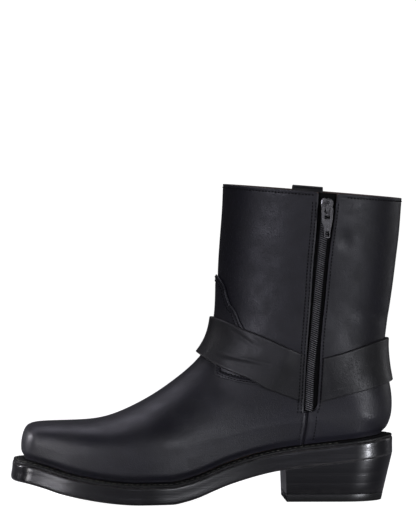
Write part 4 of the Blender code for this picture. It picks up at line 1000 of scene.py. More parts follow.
# A strip of leather on the upper with rounded edges: turns, ups, lift and shape are grids, across by along
def leatherStrip(name, turns, ups, lift, shape, cut, material, replaces, rubAndSheenShare=0.8):
    thick = cut["thick"]
    edgeShare = cut["radius"] / cut["width"]
    corner = []  # across, up and rub with a painted edge highlight, from the edge to the top face
    for angle in np.linspace(0, math.pi / 2, 5):
        inward = (1 - math.cos(angle)) * edgeShare
        rise = 1 - (1 - math.sin(angle)) * cut["radius"] / thick
        corner.append((inward, rise, 1.0 - 0.55 * (inward > 0.6 * edgeShare)))
    count = turns.shape[0]
    profile = [(0.0, 0.0, 0.3), *corner]
    profile += [(float(m), 1.0, 0.0) for m in np.linspace(edgeShare, 1 - edgeShare, count)[1:-1]]
    profile += [(1 - inward, rise, rubAndSheen) for inward, rise, rubAndSheen in corner[::-1]] + [(1.0, 0.0, 0.3)]
    profile += [(float(m), 0.0, 0.0) for m in np.linspace(0.8, 0.2, 4)]
    loops = []
    rubAndSheenRows = []
    for across, rise, rubAndSheen in profile:
        position = np.clip(across, 0, 1) * (count - 1)
        low = np.clip(int(position), 0, count - 2)
        part = position - low
        turn, up, base, bulge = (
            grid[low] * (1 - part) + grid[low + 1] * part for grid in (turns, ups, lift, shape)
        )
        loops.append(onLast(turn, up, base + thick * rise + bulge * min(1.0, rise)))
        rubAndSheenRows.append(np.full(turn.shape, rubAndSheen * rubAndSheenShare))
    verts = np.stack(loops)
    rows, columns = verts.shape[:2]
    faces = gridFaces(rows, columns)
    for c in range(columns - 1):
        faces.append(((rows - 1) * columns + c, (rows - 1) * columns + c + 1, c + 1, c))
    faces.append([r * columns for r in range(rows)])
    faces.append([r * columns + columns - 1 for r in range(rows)][::-1])
    centre = verts.mean(0)
    newPiece(name, verts, faces, material, replaces, {"edge": np.stack(rubAndSheenRows)},
        outwards=lambda middle, face: middle - centre[face[0] % columns], sharp=50)


def turnAt(edge, line, side):
    low, high = 0.0, 1.0
    for _ in range(24):
        middle = (low + high) / 2
        up = findUp(np.array([side * middle]), line)
        point = readGrid(lastGrid, side * middle, up)[0]
        low, high = (low, middle) if point[0] > edge(point[2]) else (middle, high)
    return side * (low + high) / 2


strapCut = {
    "thick": 2.6 * mm,
    "gap": 0.6 * mm,
    "catch": 2.4 * mm,
    "endX": -2.0 * mm,
    "endLean": 0.4,
    "lap": 26.0 * mm,
    "lapFrom": 0.13,
    "lapFade": 0.10,
    "wave": 0.18 * mm,
    "radius": 0.9 * mm,
    "width": 32.0 * mm,
    "along": 190,
    "across": 26,
}
overlayCut = {
    "thick": 1.3 * mm,
    "lift": 0.6 * mm,
    "radius": 0.55 * mm,
    "width": 30.0 * mm,
    "stepFrom": 0.09,
    "stepFade": 0.06,
}


def strapGrid(foot, top, startEdge, endEdge, wrapBack):
    shares = np.linspace(0, 1, strapCut["across"] + 1)
    along = np.linspace(0, 1, strapCut["along"] + 1)
    picks = np.linspace(0, 1, 5)
    lines = [between(foot, top, p) for p in picks]
    starts = np.interp(shares, picks, [turnAt(startEdge, line, -1) for line in lines])
    ends = np.interp(shares, picks, [turnAt(endEdge, line, 1) - 2 * wrapBack for line in lines])
    half = strapCut["across"] // 2
    turns = []
    ups = []
    for share, start, end in zip(shares, starts, ends):
        even = starts[half] + (ends[half] - starts[half]) * along
        even = even + (start - starts[half]) * eased(1 - along * 3)
        even = even + (end - ends[half]) * eased(along * 3 - 2)
        turns.append(even)
        ups.append(findUp(np.where(even < -1, even + 2, even), between(foot, top, share)))
    return np.array(turns), np.array(ups)


strapCreases = [
    (-1, (-0.300, 0.462), (-0.175, 0.438), 1.2 * mm, -0.70 * mm),
    (-1, (-0.300, 0.451), (-0.190, 0.428), 2.0 * mm, 0.35 * mm),
    (-1, (-0.266, 0.541), (-0.202, 0.485), 1.3 * mm, -0.65 * mm),
    (-1, (-0.256, 0.550), (-0.192, 0.494), 2.2 * mm, 0.35 * mm),
    (-1, (-0.180, 0.470), (-0.120, 0.430), 5.0 * mm, 0.30 * mm),
    (-1, (-0.260, 0.520), (-0.200, 0.480), 6.0 * mm, 0.25 * mm),
    (-1, (-0.330, 0.560), (-0.350, 0.480), 3.5 * mm, -0.30 * mm),
    (1, (-0.300, 0.545), (-0.240, 0.470), 2.0 * mm, -0.45 * mm),
    (1, (-0.335, 0.460), (-0.220, 0.425), 1.8 * mm, -0.45 * mm),
]
backCreases = [
    (-1, (0.020, 0.440), (0.060, 0.400), 6.0 * mm, 0.30 * mm),
    (-1, (0.080, 0.470), (0.110, 0.400), 4.0 * mm, -0.25 * mm),
    (-1, (-0.030, 0.430), (-0.020, 0.345), 3.0 * mm, -0.30 * mm),
    (1, (0.040, 0.450), (0.090, 0.410), 5.0 * mm, -0.25 * mm),
]


def strapShape(turns, ups, table, stretch):
    points = onLast(turns, ups)
    folds = creaseLift(points, np.where(points[..., 1] < 0, -1, 1), table)
    return folds + strapCut["wave"] * gentleWave(points * stretch)


def makeStraps():
    gap = strapCut["gap"]
    cutLevel = between(frontStrapFoot, frontStrapTop, 0.5)(strapCut["endX"])

    def cutEnd(z):
        return strapCut["endX"] + strapCut["endLean"] * (z - cutLevel)

    def lapEdge(z):
        return strapCut["endX"] - strapCut["lap"]

    start = uprightLine(zipTable, 1, -strapCut["catch"])
    turns, ups = strapGrid(frontStrapFoot, frontStrapTop, start, cutEnd, 0)
    lapStart = turnAt(lapEdge, between(frontStrapFoot, frontStrapTop, 0.5), 1)
    over = eased((overlayTable[-1, 0] + overlayCut["stepFrom"] - np.abs(turns)) / overlayCut["stepFade"])
    lap = eased((turns - lapStart + strapCut["lapFrom"]) / strapCut["lapFade"])
    lift = gap + (overlayCut["thick"] + gap) * over
    lift = lift + (strapCut["thick"] + 2 * gap - lift) * lap
    shape = strapShape(turns, ups, strapCreases, 1.3)
    leatherStrip("frontStrap", turns, ups, lift, shape, strapCut, strapLeather,
        ("front_strap",))
    start = uprightLine(zipTable, 2, strapCut["catch"])
    turns, ups = strapGrid(backStrapFoot, backStrapTop, start, lapEdge, 1)
    lift = np.full(turns.shape, gap)
    shape = strapShape(turns, ups, backCreases, 1.2)
    leatherStrip("backStrap", turns, ups, lift, shape, strapCut, strapLeather,
        ("back_strap",))


def overlayLine(count):  # turns and ups of the overlay's top and foot edges
    half = overlayTable[:, 0]
    dense = np.linspace(-half[-1], half[-1], count)
    size = boot["collarFront"]
    top = np.interp(np.abs(dense), half, overlayTable[:, 1]) * size
    foot = np.interp(np.abs(dense), half, overlayTable[:, 2]) * size
    kernel = np.exp(-np.linspace(-2, 2, 9) ** 2)
    kernel /= kernel.sum()
    top = np.convolve(np.pad(top, 4, mode="edge"), kernel, "valid")
    foot = np.convolve(np.pad(foot, 4, mode="edge"), kernel, "valid")
    return dense, findUp(dense, lambda x: top), findUp(dense, lambda x: foot)


def makeOverlay():
    dense, top, foot = overlayLine(241)
    share = np.linspace(0, 1, 41)[:, None]
    ups = foot[None, :] * (1 - share) + top[None, :] * share
    turns = np.broadcast_to(dense, ups.shape)
    points = onLast(turns, ups)
    toTop = np.linalg.norm(points - points[-1:], axis=2)
    toFoot = np.linalg.norm(points - points[:1], axis=2)
    edge = np.minimum(toTop, toFoot)
    ridge = 0.55 * mm * hump(edge, 3.0 * mm, 1.0 * mm) - 0.25 * mm * hump(edge, 1.6 * mm, 0.5 * mm)
    ridge -= 0.55 * mm * hump(edge, 4.8 * mm, 0.8 * mm)
    ridge = ridge * eased((overlayTable[-1, 0] - np.abs(turns)) / 0.04)
    lift = np.full(ups.shape, overlayCut["lift"])
    leatherStrip("instepOverlay", turns, ups, lift, ridge, overlayCut, upperLeather,
        ("instep_overlay",), 0.5)


makeStraps()
makeOverlay()
print("straps ready")


# Stitches: one mesh for each group of rows
stitches = {
    "pitch": 2.7 * mm, "radius": 0.48 * mm, "weltPitch": 4.6 * mm, "weltRadius": 0.52 * mm, "sides": 6,
    "profile": [  # along as a share of the stitch, thickness and height as shares of the radius
        (-0.5, 0.30, -0.9), (-0.40, 0.85, -0.25), (-0.15, 1.0, 0.25),
        (0.15, 1.0, 0.25), (0.40, 0.85, -0.25), (0.5, 0.30, -0.9),
    ],
}


def threadMesh(rows, radius, fill):
    verts = []
    faces = []
    sides = stitches["sides"]
    for points, normals, pitch in rows:
        length = lengthAlong(points)
        count = max(2, int(round(length[-1] / pitch)))
        middle = (np.arange(count) + 0.5) * length[-1] / count
        near = 0.2 * mm
        at = readAlong(middle, length, points)
        along = unit(readAlong(middle + near, length, points) - readAlong(middle - near, length, points))
        face = unit(readAlong(middle, length, normals))
        size = length[-1] / count * fill
        for place, a, n, b in zip(at, along, face, np.cross(face, along)):
            faces += tubeFaces(len(verts), len(stitches["profile"]), sides)
            for share, thick, sink in stitches["profile"]:
                centre = place + a * share * size + n * radius * sink
                for k in range(sides):
                    angle = 2 * math.pi * k / sides
                    verts.append(centre + (b * math.cos(angle) + n * math.sin(angle)) * radius * thick)
    return np.array(verts), faces


def lineOnLast(turns, ups, lift):
    turns = np.asarray(turns, float)
    ups = np.asarray(ups, float)
    return onLast(turns, ups, np.full(turns.shape, lift)), unit(readGrid(lastNormal, turns, ups))


def sewRows(name, rows, radius, material, fill=0.76):
    verts, faces = threadMesh(rows, radius, fill)
    newPiece(name, verts, faces, material)


def heightAt(turns, ups):
    return readGrid(lastGrid, turns, ups)[:, 2]


def makeStitches():
    pitch = stitches["pitch"]
    radius = stitches["radius"]
    # round the collar
    front, back, outer = slotTurns(np.ones(2))
    turns = sheetTurns(np.linspace(0.012, 0.988, 400), front, back, outer)[0]
    top = heightAt(turns, 1.0)
    ups = findUp(np.where(turns > 1, turns - 2, turns), lambda x: top - 2.3 * mm)
    rows = [(*lineOnLast(turns, ups, -0.12 * mm), pitch)]
    # up the zip: two rows in front of it, one behind
    foot = upperCut["zipFoot"] * boot["collarFront"]
    for column, shift in ((1, -1.6 * mm), (1, -4.3 * mm), (2, 1.8 * mm)):
        ups = np.linspace(0.30, 0.985, 200)
        turns = findTurn(ups, uprightLine(zipTable, column, shift), -1)
        height = heightAt(turns, ups)
        keep = (height > foot - 1 * mm) & (height < heightAt(turns, 1.0) - 2.5 * mm)
        turns, ups, height = turns[keep], ups[keep], height[keep]
        lift = np.zeros(len(turns))
        if abs(shift) > strapCut["catch"]:  # this row runs over the front strap
            x = readGrid(lastGrid, turns, ups)[:, 0]
            over = height > sideLine(frontStrapFoot)(x) - 0.3 * mm
            over &= height < sideLine(frontStrapTop)(x) + 0.3 * mm
            lift = np.where(over, strapCut["gap"] + strapCut["thick"], lift)
        rows.append((*lineOnLast(turns, ups, lift - 0.02 * mm), pitch))
    sewRows("collarAndZipStitches", rows, radius, upperThread)
    # the seam under the zip, and the outer side's seam
    rows = []
    seams = ((underSeamTable, -1, (-3.4 * mm, 8.0 * mm)), (outerSeamTable, 1, (-2.4 * mm, 2.4 * mm)))
    lowest = treadAt(np.array([-25 * mm]))[0] + seatLevel + 3 * mm
    for table, side, shifts in seams:
        for shift in shifts:
            ups = np.linspace(0.03, 0.985, 260)
            turns = findTurn(ups, uprightLine(table, 1, shift), side)
            height = heightAt(turns, ups)
            highest = foot - 2.5 * mm if side < 0 else heightAt(turns, 1.0) - 4 * mm
            keep = (height > lowest) & (height < highest)
            rows.append((*lineOnLast(turns[keep], ups[keep], 0.02 * mm), pitch))
    sewRows("seamStitches", rows, radius * 0.9, upperThread)
    # overlay, two rows along both edges
    dense, top, low = overlayLine(241)
    keep = np.abs(dense) < overlayTable[-1, 0] - 0.03
    rows = []
    lift = overlayCut["lift"] + overlayCut["thick"]
    for line, sign in ((top, 1), (low, -1)):
        for gap in (1.6 * mm, 4.6 * mm):
            turns, ups = moveOnLast(dense[keep], line[keep], np.full(keep.sum(), sign * gap))
            rows.append((*lineOnLast(turns, ups, lift - 0.08 * mm), pitch * 0.92))
    sewRows("overlayStitches", rows, radius, upperThread)


makeStitches()
print("stitches ready")


# Sole
soleCut = {"round": 1.4 * mm, "stations": 210, "weltEdge": 1.7 * mm, "weltInner": 13.0 * mm,
    "stitchInset": 2.9 * mm}


def soleRing(inset, height, backInset=None):
    back = inset if backInset is None else backInset
    x = edgeStations(inset, soleCut["stations"], backInset=back)
    inset = inset + (back - inset) * eased((x + 62 * mm) / (24 * mm))
    moved, level = raised(x, height)
    near = np.stack([moved, soleSide(x, -1, inset), level], 1)
    far = np.stack([moved, soleSide(x, 1, inset), level], 1)
    return np.concatenate([near, far[-2:0:-1]])


def ringCap(start, count):
    half = count // 2
    faces = [(start, start + 1, start + count - 1)]
    for i in range(1, half - 1):
        faces.append((start + i, start + i + 1, start + count - i - 1, start + count - i))
    faces.append((start + half - 1, start + half, start + half + 1))
    return faces


def makeOutsole():
    top = boot["soleThickness"]
    turned = soleCut["round"]
    shape = [  # inset, inset at the back, height, rub with a painted highlight on the bevels
        (4.0 * mm, 2.0 * mm, 0.0, 0.0),
        (turned * 1.6, 0.8 * mm, 0.0, 0.0),
        (turned * 0.9, 0.3 * mm, turned * 0.06, 0.3),
        (turned * 0.35, 0.12 * mm, turned * 0.38, 0.7),
        (turned * 0.08, 0.03 * mm, turned * 0.9, 0.4),
        (0.0, 0.0, turned * 1.5, 0.0),
        (0.12 * mm, 0.05 * mm, top * 0.35, 0.0),
        (0.2 * mm, 0.08 * mm, top * 0.5, 0.0),
        (0.12 * mm, 0.05 * mm, top * 0.65, 0.0),
        (0.0, 0.0, top - turned * 1.5, 0.0),
        (turned * 0.05, None, top - turned * 0.9, 0.3),
        (turned * 0.25, None, top - turned * 0.45, 1.0),
        (turned * 0.7, None, top - turned * 0.12, 1.0),
        (turned * 1.2, None, top, 0.5),
        (6.0 * mm, None, top, 0.0),
    ]
    rings = [soleRing(inset, height, back) for inset, back, height, _ in shape]
    count = len(rings[0])
    faces = gridFaces(len(rings), count, closed=True)
    faces += [face[::-1] for face in ringCap(0, count)] + ringCap(count * (len(rings) - 1), count)
    edge = np.repeat([rubAndSheen for _, _, _, rubAndSheen in shape], count)
    newPiece("outsoleSlab", np.concatenate(rings), faces, soleEdge, replaces=("outsole",),
        masks={"edge": edge}, sharp=60)


def makeWelt():
    low = boot["soleThickness"] + boot["layerGap"] * 0.3
    edge = soleCut["round"] * 0.4
    rise = boot["weltThickness"]
    lip = soleCut["weltEdge"]
    groove = soleCut["stitchInset"]
    shape = [  # inset, height, rub with a painted highlight on the outer edge
        (edge, low, 0.2), (edge * 0.8, low + lip * 0.5, 0.6), (edge * 1.2, low + lip * 0.92, 0.8),
        (edge * 2.2, low + lip * 1.05, 0.4), (groove - 0.6 * mm, low + lip * 1.15, 0.0),
        (groove, low + lip * 1.02, 0.0), (groove + 0.7 * mm, low + lip * 1.3, 0.0),
        (boot["seatMargin"] * 0.85, low + rise * 0.9, 0.0),
        (boot["seatMargin"] * 1.3, low + rise * 0.95, 0.0),
        (soleCut["weltInner"], low + rise * 0.95, 0.0), (soleCut["weltInner"], low, 0.0),
    ]
    rings = [soleRing(inset, height) for inset, height, _ in shape]
    count = len(rings[0])
    verts = np.concatenate(rings)
    faces = gridFaces(len(rings), count, closed=True)
    last = (len(rings) - 1) * count
    faces += [(last + c, last + (c + 1) % count, (c + 1) % count, c) for c in range(count)]
    newPiece("weltStrip", verts, faces, weltLeather, replaces=("welt",),
        masks={"edge": np.repeat([rubAndSheen for _, _, rubAndSheen in shape], count)}, sharp=60)
    ring = soleRing(groove, low + lip * 1.12)
    inner = int(np.argmin(np.abs(ring[: count // 2, 0] - 2 * mm)))
    outer = count // 2 + int(np.argmin(np.abs(ring[count // 2 :, 0] - 2 * mm)))
    path = np.concatenate([ring[outer:], ring[: inner + 1]])
    normals = np.tile([0, 0, 1.0], (len(path), 1))
    sewRows("weltStitches", [(path, normals, stitches["weltPitch"])], stitches["weltRadius"], weltThread,
        0.86)


makeOutsole()
makeWelt()
print("sole ready")


# Heel
heelCut = {
    "length": 80.0 * mm,
    "taper": 3.0 * mm,
    "slant": 6.0 * mm,
    "lift": 6.0 * mm,
    "liftEdge": 0.35 * mm,
    "liftInset": 0.15 * mm,
    "blockInset": 0.2 * mm,
    "breastLean": 1.2 * mm,
    "stations": 90,
    "layers": (0.34, 0.68),
}


def heelRing(levelOf, inset, breast):
    end = np.array([boot["heelReach"]])
    full = treadAt(end)[0]
    backInset = inset + heelCut["taper"] * (1 - levelOf(end)[0] / full)
    x = edgeStations(backInset, heelCut["stations"], start=breast)
    level = levelOf(x)
    down = 1 - level / full
    inset = inset + heelCut["taper"] * down
    moved = x - heelCut["slant"] * down * (x - breast) / (boot["heelReach"] - breast)
    near = np.stack([moved, soleSide(x, -1, inset), level], 1)
    far = np.stack([moved, soleSide(x, 1, inset), level], 1)
    return np.concatenate([near, far[-2::-1]])


def heelSolid(name, rings, edge, material, replaces):
    count = len(rings[0])
    faces = gridFaces(len(rings), count, closed=True)
    half = count // 2
    for start, flip in ((0, True), (count * (len(rings) - 1), False)):
        end = start + count - 1
        cap = [(start + i, start + i + 1, end - 1 - i, end - i) for i in range(half - 1)]
        cap.append((start + half - 1, start + half, start + half + 1))
        faces += [face[::-1] for face in cap] if flip else cap
    newPiece(name, np.concatenate(rings), faces, material, replaces=replaces,
        masks={"edge": np.repeat(edge, count)}, sharp=40)


def breastAt(height):
    return -heelCut["length"] / 2 - heelCut["breastLean"] * height / boot["heelLift"]


def flatAt(height):
    return lambda x: np.full(np.shape(x), height)


def underSole(drop):
    return lambda x: treadAt(x) - drop


def makeHeel():
    top = treadAt(np.array([0.0]))[0] - boot["fitGap"]
    bottom = heelCut["lift"] + boot["fitGap"]
    stages = [(flatAt(bottom), bottom, 0.08 * mm, 0.0),
        (flatAt(bottom + 0.2 * mm), bottom + 0.2 * mm, 0.0, 0.2)]
    for share in heelCut["layers"]:
        middle = bottom + (top - bottom) * share
        for step, extra, rubAndSheen in ((-0.5 * mm, 0.0, 0.0), (0.0, 0.025 * mm, 0.1), (0.5 * mm, 0.0, 0.0)):
            stages.append((flatAt(middle + step), middle + step, extra, rubAndSheen))
    stages.append((underSole(0.9 * mm), top, 0.0, 0.0))
    stages.append((underSole(boot["fitGap"] * 0.4), top, 0.08 * mm, 0.4))
    rings = [heelRing(levelOf, heelCut["blockInset"] + extra, breastAt(height))
        for levelOf, height, extra, _ in stages]
    edge = [rubAndSheen for _, _, _, rubAndSheen in stages]
    heelSolid("heelStack", rings, edge, heelStack, ("heel_block",))
    rounded = heelCut["liftEdge"]
    rings = []
    for height, extra in ((0.0, rounded), (rounded * 0.35, rounded * 0.3), (rounded, 0.0),
            (heelCut["lift"] - 0.15 * mm, 0.0), (heelCut["lift"], 0.06 * mm)):
        rings.append(heelRing(flatAt(height), heelCut["liftInset"] + extra, breastAt(height) + extra))
    heelSolid("heelTopLift", rings, [0.0, 0.2, 0.1, 0.0, 0.0], liftRubber, ("top_lift",))


makeHeel()
print("heel ready")


# Zip: interlocking coils on a woven tape
zipCut = {
    "tapeLap": 6.0 * mm,
    "tapeThick": 0.8 * mm,
    "gap": 0.7 * mm,
    "chainWidth": 6.6 * mm,
    "chainThick": 2.0 * mm,
    "chainDrop": 5.7 * mm,
    "pitch": 1.66 * mm,
    "coil": 0.37 * mm,
    "aside": 0.2 * mm,
    "sides": 6,
    # the far coil gets only this share of the painted light, painted shade on it
    "farCoilPaintedLight": 0.35,
}
# One turn of the coil: across, along and above, as shares of half width, pitch and half thickness
coilTurns = {
    -1: [
        (-1.0, -0.80, -0.75), (-0.94, -0.76, 0.0), (-0.76, -0.60, 0.50), (-0.30, -0.20, 0.72),
        (0.25, 0.30, 0.72), (0.72, 0.72, 0.45), (0.88, 0.86, -0.2),
    ],
    1: [
        (-1.0, -0.50, -0.75), (-0.95, -0.46, -0.2), (-0.80, -0.34, 0.0), (-0.50, -0.10, -0.1),
        (-0.15, 0.15, -0.25), (0.10, 0.32, -0.4), (0.20, 0.40, -0.5),
    ],
}
coilThick = [0.8, 1.0, 1.0, 1.0, 1.0, 0.95, 0.7]


def chainPath(count):
    line = uprightLine(zipTable, 3)
    rim = findTurn(np.array([1.0]), line, -1)
    top = readGrid(lastGrid, rim, 1.0)[0, 2]
    foot = upperCut["zipFoot"] * boot["collarFront"]
    ups = np.linspace(0.25, 1.0, 600)
    turns = findTurn(ups, line, -1)
    height = heightAt(turns, ups)
    wanted = np.linspace(foot + 0.5 * mm, top - zipCut["chainDrop"], count)
    ups = np.interp(wanted, height, ups)
    return findTurn(ups, line, -1), ups


def makeChain():
    low = -boot["leather"] - zipCut["gap"] + boot["fitGap"]
    points, normals = lineOnLast(*chainPath(500), low + zipCut["chainThick"] * 0.5)
    points[:, 0] -= zipCut["aside"]
    length = lengthAlong(points)
    verts = []
    faces = []
    crown = []
    sides = zipCut["sides"]
    for k in range(int(length[-1] / zipCut["pitch"]) * 2):
        side = -1 if k % 2 else 1
        s = (k + 0.5) * zipCut["pitch"] / 2
        at = readAlong(s, length, points)
        along = unit(readAlong(s + 1 * mm, length, points) - at)
        face = unit(readAlong(s, length, normals))
        across = np.cross(along, face) * side * zipCut["chainWidth"] / 2
        centres = [
            at + across * a + along * b * zipCut["pitch"] * 0.8 + face * c * zipCut["chainThick"] * 0.5
            for a, b, c in coilTurns[side]
        ]
        faces += tubeFaces(len(verts), len(centres), sides)
        for i, centre in enumerate(centres):
            ahead = unit(centres[min(i + 1, len(centres) - 1)] - centres[max(i - 1, 0)])
            b1 = unit(np.cross(ahead, face))
            b2 = np.cross(ahead, b1)
            for j in range(sides):
                angle = 2 * math.pi * j / sides
                out = b1 * math.cos(angle) + b2 * math.sin(angle)
                verts.append(centre + out * zipCut["coil"] * coilThick[i])
                # painted light: full on the near coil's outward faces, a share of it on the far coil, none
                # on faces turned away
                crown.append(max(0.0, float(out @ face)) * (1.0 if side < 0 else zipCut["farCoilPaintedLight"]))
    newPiece("zipCoils", verts, faces, zipNylon, ("zip_chain",), {"crown": crown})


def makeTape():
    ups = np.linspace(0.0, 1.0, 800)
    line = uprightLine(zipTable, 3)
    turns = findTurn(ups, line, -1)
    height = heightAt(turns, ups)
    foot = upperCut["zipFoot"] * boot["collarFront"] - zipCut["tapeLap"]
    wanted = np.linspace(foot, height[-1] - 0.2 * mm, 150)
    ups = np.interp(wanted, height, ups)
    left = findTurn(ups, uprightLine(zipTable, 1, -zipCut["tapeLap"]), -1)
    right = findTurn(ups, uprightLine(zipTable, 2, zipCut["tapeLap"]), -1)
    share = np.linspace(0, 1, 31)[:, None]
    grid = left[None, :] * (1 - share) + right[None, :] * share
    rows = np.broadcast_to(ups, grid.shape)
    top = -boot["leather"] - zipCut["gap"]
    shift = 0.12 * mm * np.sin(share * math.pi * 9) * np.ones(grid.shape)
    near = onLast(grid, rows, top - 0.12 * mm + shift)
    far = onLast(grid, rows, np.full(grid.shape, top - zipCut["tapeThick"]))
    verts, faces = closedSheet(near, far)
    newPiece("zipTapeCloth", verts, faces, tapeFabric, ("zip_tape",))


makeChain()
makeTape()
for node, material in (("zip_slider", platedMetal), ("zip_pull", platedMetal), ("insole", insoleLeather)):
    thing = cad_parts[node]
    thing.data.materials.clear()
    thing.data.materials.append(material)
print("zip ready")


# Pull loop
loopCut = {"middle": -18.0 * mm, "width": 25.0 * mm, "thick": 1.6 * mm, "height": 3.6 * mm,
    "leg": 30.0 * mm, "radius": 0.5 * mm}


def loopRow(turns, drop, angle, share):
    outside = boot["fitGap"]
    inside = -boot["leather"] - 0.7 * mm
    half = (outside - inside) / 2 + loopCut["thick"] * share
    rise = loopCut["height"] - loopCut["thick"] * (1 - share)
    top = heightAt(turns, 1.0)
    ups = findUp(turns, lambda x: top - drop * loopCut["leg"])
    normal = unit(readGrid(lastNormal, turns, ups))
    out = normal * ((outside + inside) / 2 + half * math.cos(angle))
    return readGrid(lastGrid, turns, ups) + out + np.array([0, 0, rise * math.sin(angle)])


def collarTurn(x):
    return float(findTurn(np.array([1.0]), lambda z: np.full(np.shape(z), x), 1)[0])


def makeLoop():
    first = collarTurn(loopCut["middle"] - loopCut["width"] / 2)
    wide = collarTurn(loopCut["middle"] + loopCut["width"] / 2) - first
    steps = [(d, 0.0) for d in np.linspace(1, 0.04, 16)] + [(0.0, a) for a in np.linspace(0, math.pi, 25)]
    steps += [(d, math.pi) for d in np.linspace(0.04, 1, 16)]
    inset = loopCut["radius"] / loopCut["width"]
    # the profile's third number is a lighter rub on the cut edges, partly a painted highlight on them
    profile = [(0.0, 0.0, 0.3), (0.0, 0.68, 0.8), (0.3 * inset, 0.9, 1.0), (inset, 1.0, 0.6)]
    profile += [(float(p), 1.0, 0.0) for p in np.linspace(0.08, 0.92, 12)]
    profile += [(1 - p, r, w) for p, r, w in profile[:4][::-1]]
    profile += [(float(p), 0.0, 0.0) for p in np.linspace(0.8, 0.2, 4)]
    turns = first + wide * np.array([p for p, _, _ in profile])
    verts = []
    for drop, angle in steps:
        rows = np.empty((len(profile), 3))
        for share in sorted({r for _, r, _ in profile}):
            pick = np.array([r == share for _, r, _ in profile])
            rows[pick] = loopRow(turns, drop, angle, share)[pick]
        verts.append(rows)
    count = len(profile)
    faces = gridFaces(len(steps), count, closed=True)
    faces.append(list(range(count))[::-1])
    faces.append([(len(steps) - 1) * count + c for c in range(count)])
    flat = np.concatenate(verts)
    centre = np.stack(verts).mean(1)
    edge = np.tile([w * 0.8 for _, _, w in profile], len(steps))
    newPiece("pullStrap", flat, faces, strapLeather, ("pull_loop",), {"edge": edge},
        lambda middle, face: middle - centre[face[0] // count], 50)
    lift = boot["fitGap"] + loopCut["thick"] - 0.02 * mm
    lines = [(np.full(60, share), np.linspace(0.93, 0.10, 60)) for share in (0.09, 0.91)]
    lines += [(np.linspace(0.11, 0.89, 40), drop) for drop in (0.93, 0.55)]
    rows = []
    for across, drops in lines:
        at = first + wide * across
        ups = findUp(at, lambda x: heightAt(at, 1.0) - drops * loopCut["leg"])
        rows.append((*lineOnLast(at, ups, lift), stitches["pitch"]))
    sewRows("pullStrapStitches", rows, stitches["radius"], upperThread)


makeLoop()
print("pull loop ready")


# Floor, light and camera
studio = {
    "distance": 3.46,
    "height": 0.1226,
    "azimuth": -3.1,
    "lens": 300.0,
    "aim": (-0.1012, 0.0, 0.1922),
    "floor": 6.0,
    "floorGlow": 1.0,
    "fill": 0.045,
}


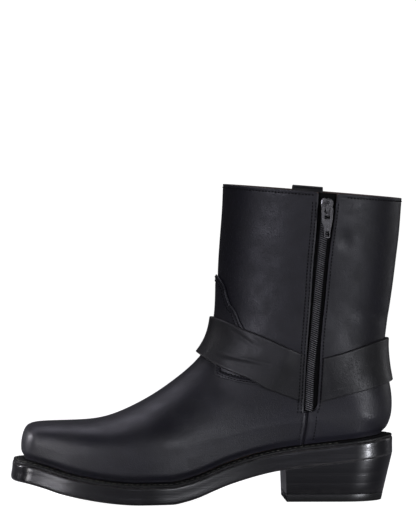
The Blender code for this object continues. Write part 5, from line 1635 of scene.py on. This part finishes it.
def makeStudio():
    mesh = bpy.data.meshes.new("studioFloor")
    corners = [(x * studio["floor"], y * studio["floor"], 0) for x,
        y in ((-1, -1), (1, -1), (1, 1), (-1, 1))]
    mesh.from_pydata(corners, [], [(0, 1, 2, 3)])
    floor = bpy.data.objects.new("studioFloor", mesh)
    bpy.context.scene.collection.objects.link(floor)
    material, tree, shader, place = startMaterial("paleFloor", 0.9, 0.1)
    cloudy = mixColour(tree, noiseAt(tree, place, 6.0, 3.0), (0.38, 0.38, 0.39), (0.43, 0.43, 0.43))
    tree.links.new(cloudy, shader.inputs["Base Color"])
    seen = tree.nodes.new("ShaderNodeLightPath").outputs["Is Camera Ray"]
    tree.links.new(mixColour(tree, seen, (0.0, 0.0, 0.0), (1.0, 1.0, 1.0)), shader.inputs["Emission Color"])
    shader.inputs["Emission Strength"].default_value = studio["floorGlow"]
    mesh.materials.append(material)
    world = bpy.data.worlds.new("studio")
    bpy.context.scene.world = world
    world.use_nodes = True
    tree = world.node_tree
    back = tree.nodes["Background"]
    back.inputs["Color"].default_value = (1, 1, 1, 1)
    seen = tree.nodes.new("ShaderNodeLightPath")
    level = spread(tree, seen.outputs["Is Camera Ray"], 0.0, 1.0, studio["fill"], 1.05)
    tree.links.new(level, back.inputs["Strength"])
    lamps = [
        ("frontLeft", (-0.98, -1.50, 0.34), (-0.03, 0.0, 0.16), (0.87, 0.86, 1.0), 0.34, 0.75, 8.4, 180),
        ("frontMiddle", (0.06, -1.80, 0.15), (0.0, 0.0, 0.10), (0.87, 0.86, 1.0), 0.18, 0.6, 1.8, 180),
        ("frontRight", (0.98, -1.36, 0.22), (0.0, 0.0, 0.15), (0.92, 0.93, 1.0), 0.22, 0.55, 8.2, 180),
        ("backRight", (1.50, 0.80, 0.45), (0.0, 0.0, 0.14), (0.96, 0.96, 1.0), 0.35, 1.3, 3.8, 180),
        ("overhead", (-0.50, 0.50, 1.60), (-0.14, 0.0, 0.08), (0.88, 0.86, 1.0), 1.5, 1.0, 9.0, 180),
        ("toeSide", (-0.56, -0.58, 0.07), (-0.230, -0.04, 0.045), (1.0, 0.98, 0.95), 0.16, 0.10, 0.020, 22),
        ("toeFront", (-1.00, 0.12, 0.34), (-0.25, -0.02, 0.05), (0.95, 0.93, 1.0), 0.30, 0.12, 0.13, 14),
        ("heelSide", (0.38, -0.42, 0.03), (0.010, -0.03, 0.015), (0.92, 0.93, 1.0), 0.10, 0.05, 0.034, 16),
    ]
    for name, place, aim, tint, width, height, power, beam in lamps:
        light = bpy.data.lights.new(name, "AREA")
        light.shape = "RECTANGLE"
        light.size = width
        light.size_y = height
        light.energy = power
        light.color = tint
        light.spread = math.radians(beam)
        lamp = bpy.data.objects.new(name, light)
        lamp.location = place
        lamp.rotation_mode = "QUATERNION"
        lamp.rotation_quaternion = (Vector(aim) - Vector(place)).to_track_quat("-Z", "Y")
        bpy.context.scene.collection.objects.link(lamp)
    lens = bpy.data.cameras.new("camera")
    lens.lens = studio["lens"]
    lens.sensor_width = 36.0
    lens.clip_end = 50.0
    camera = bpy.data.objects.new("camera", lens)
    azimuth = math.radians(studio["azimuth"])
    level = math.sqrt(studio["distance"] ** 2 - studio["height"] ** 2)
    aim = Vector(studio["aim"])
    away = (math.sin(azimuth) * level, -math.cos(azimuth) * level, studio["height"])
    camera.location = aim + Vector(away)
    camera.rotation_mode = "QUATERNION"
    camera.rotation_quaternion = (aim - camera.location).to_track_quat("-Z", "Y")
    bpy.context.scene.collection.objects.link(camera)
    bpy.context.scene.camera = camera


scene = bpy.context.scene
scene.view_settings.view_transform = "Standard"
makeStudio()
print("studio ready")
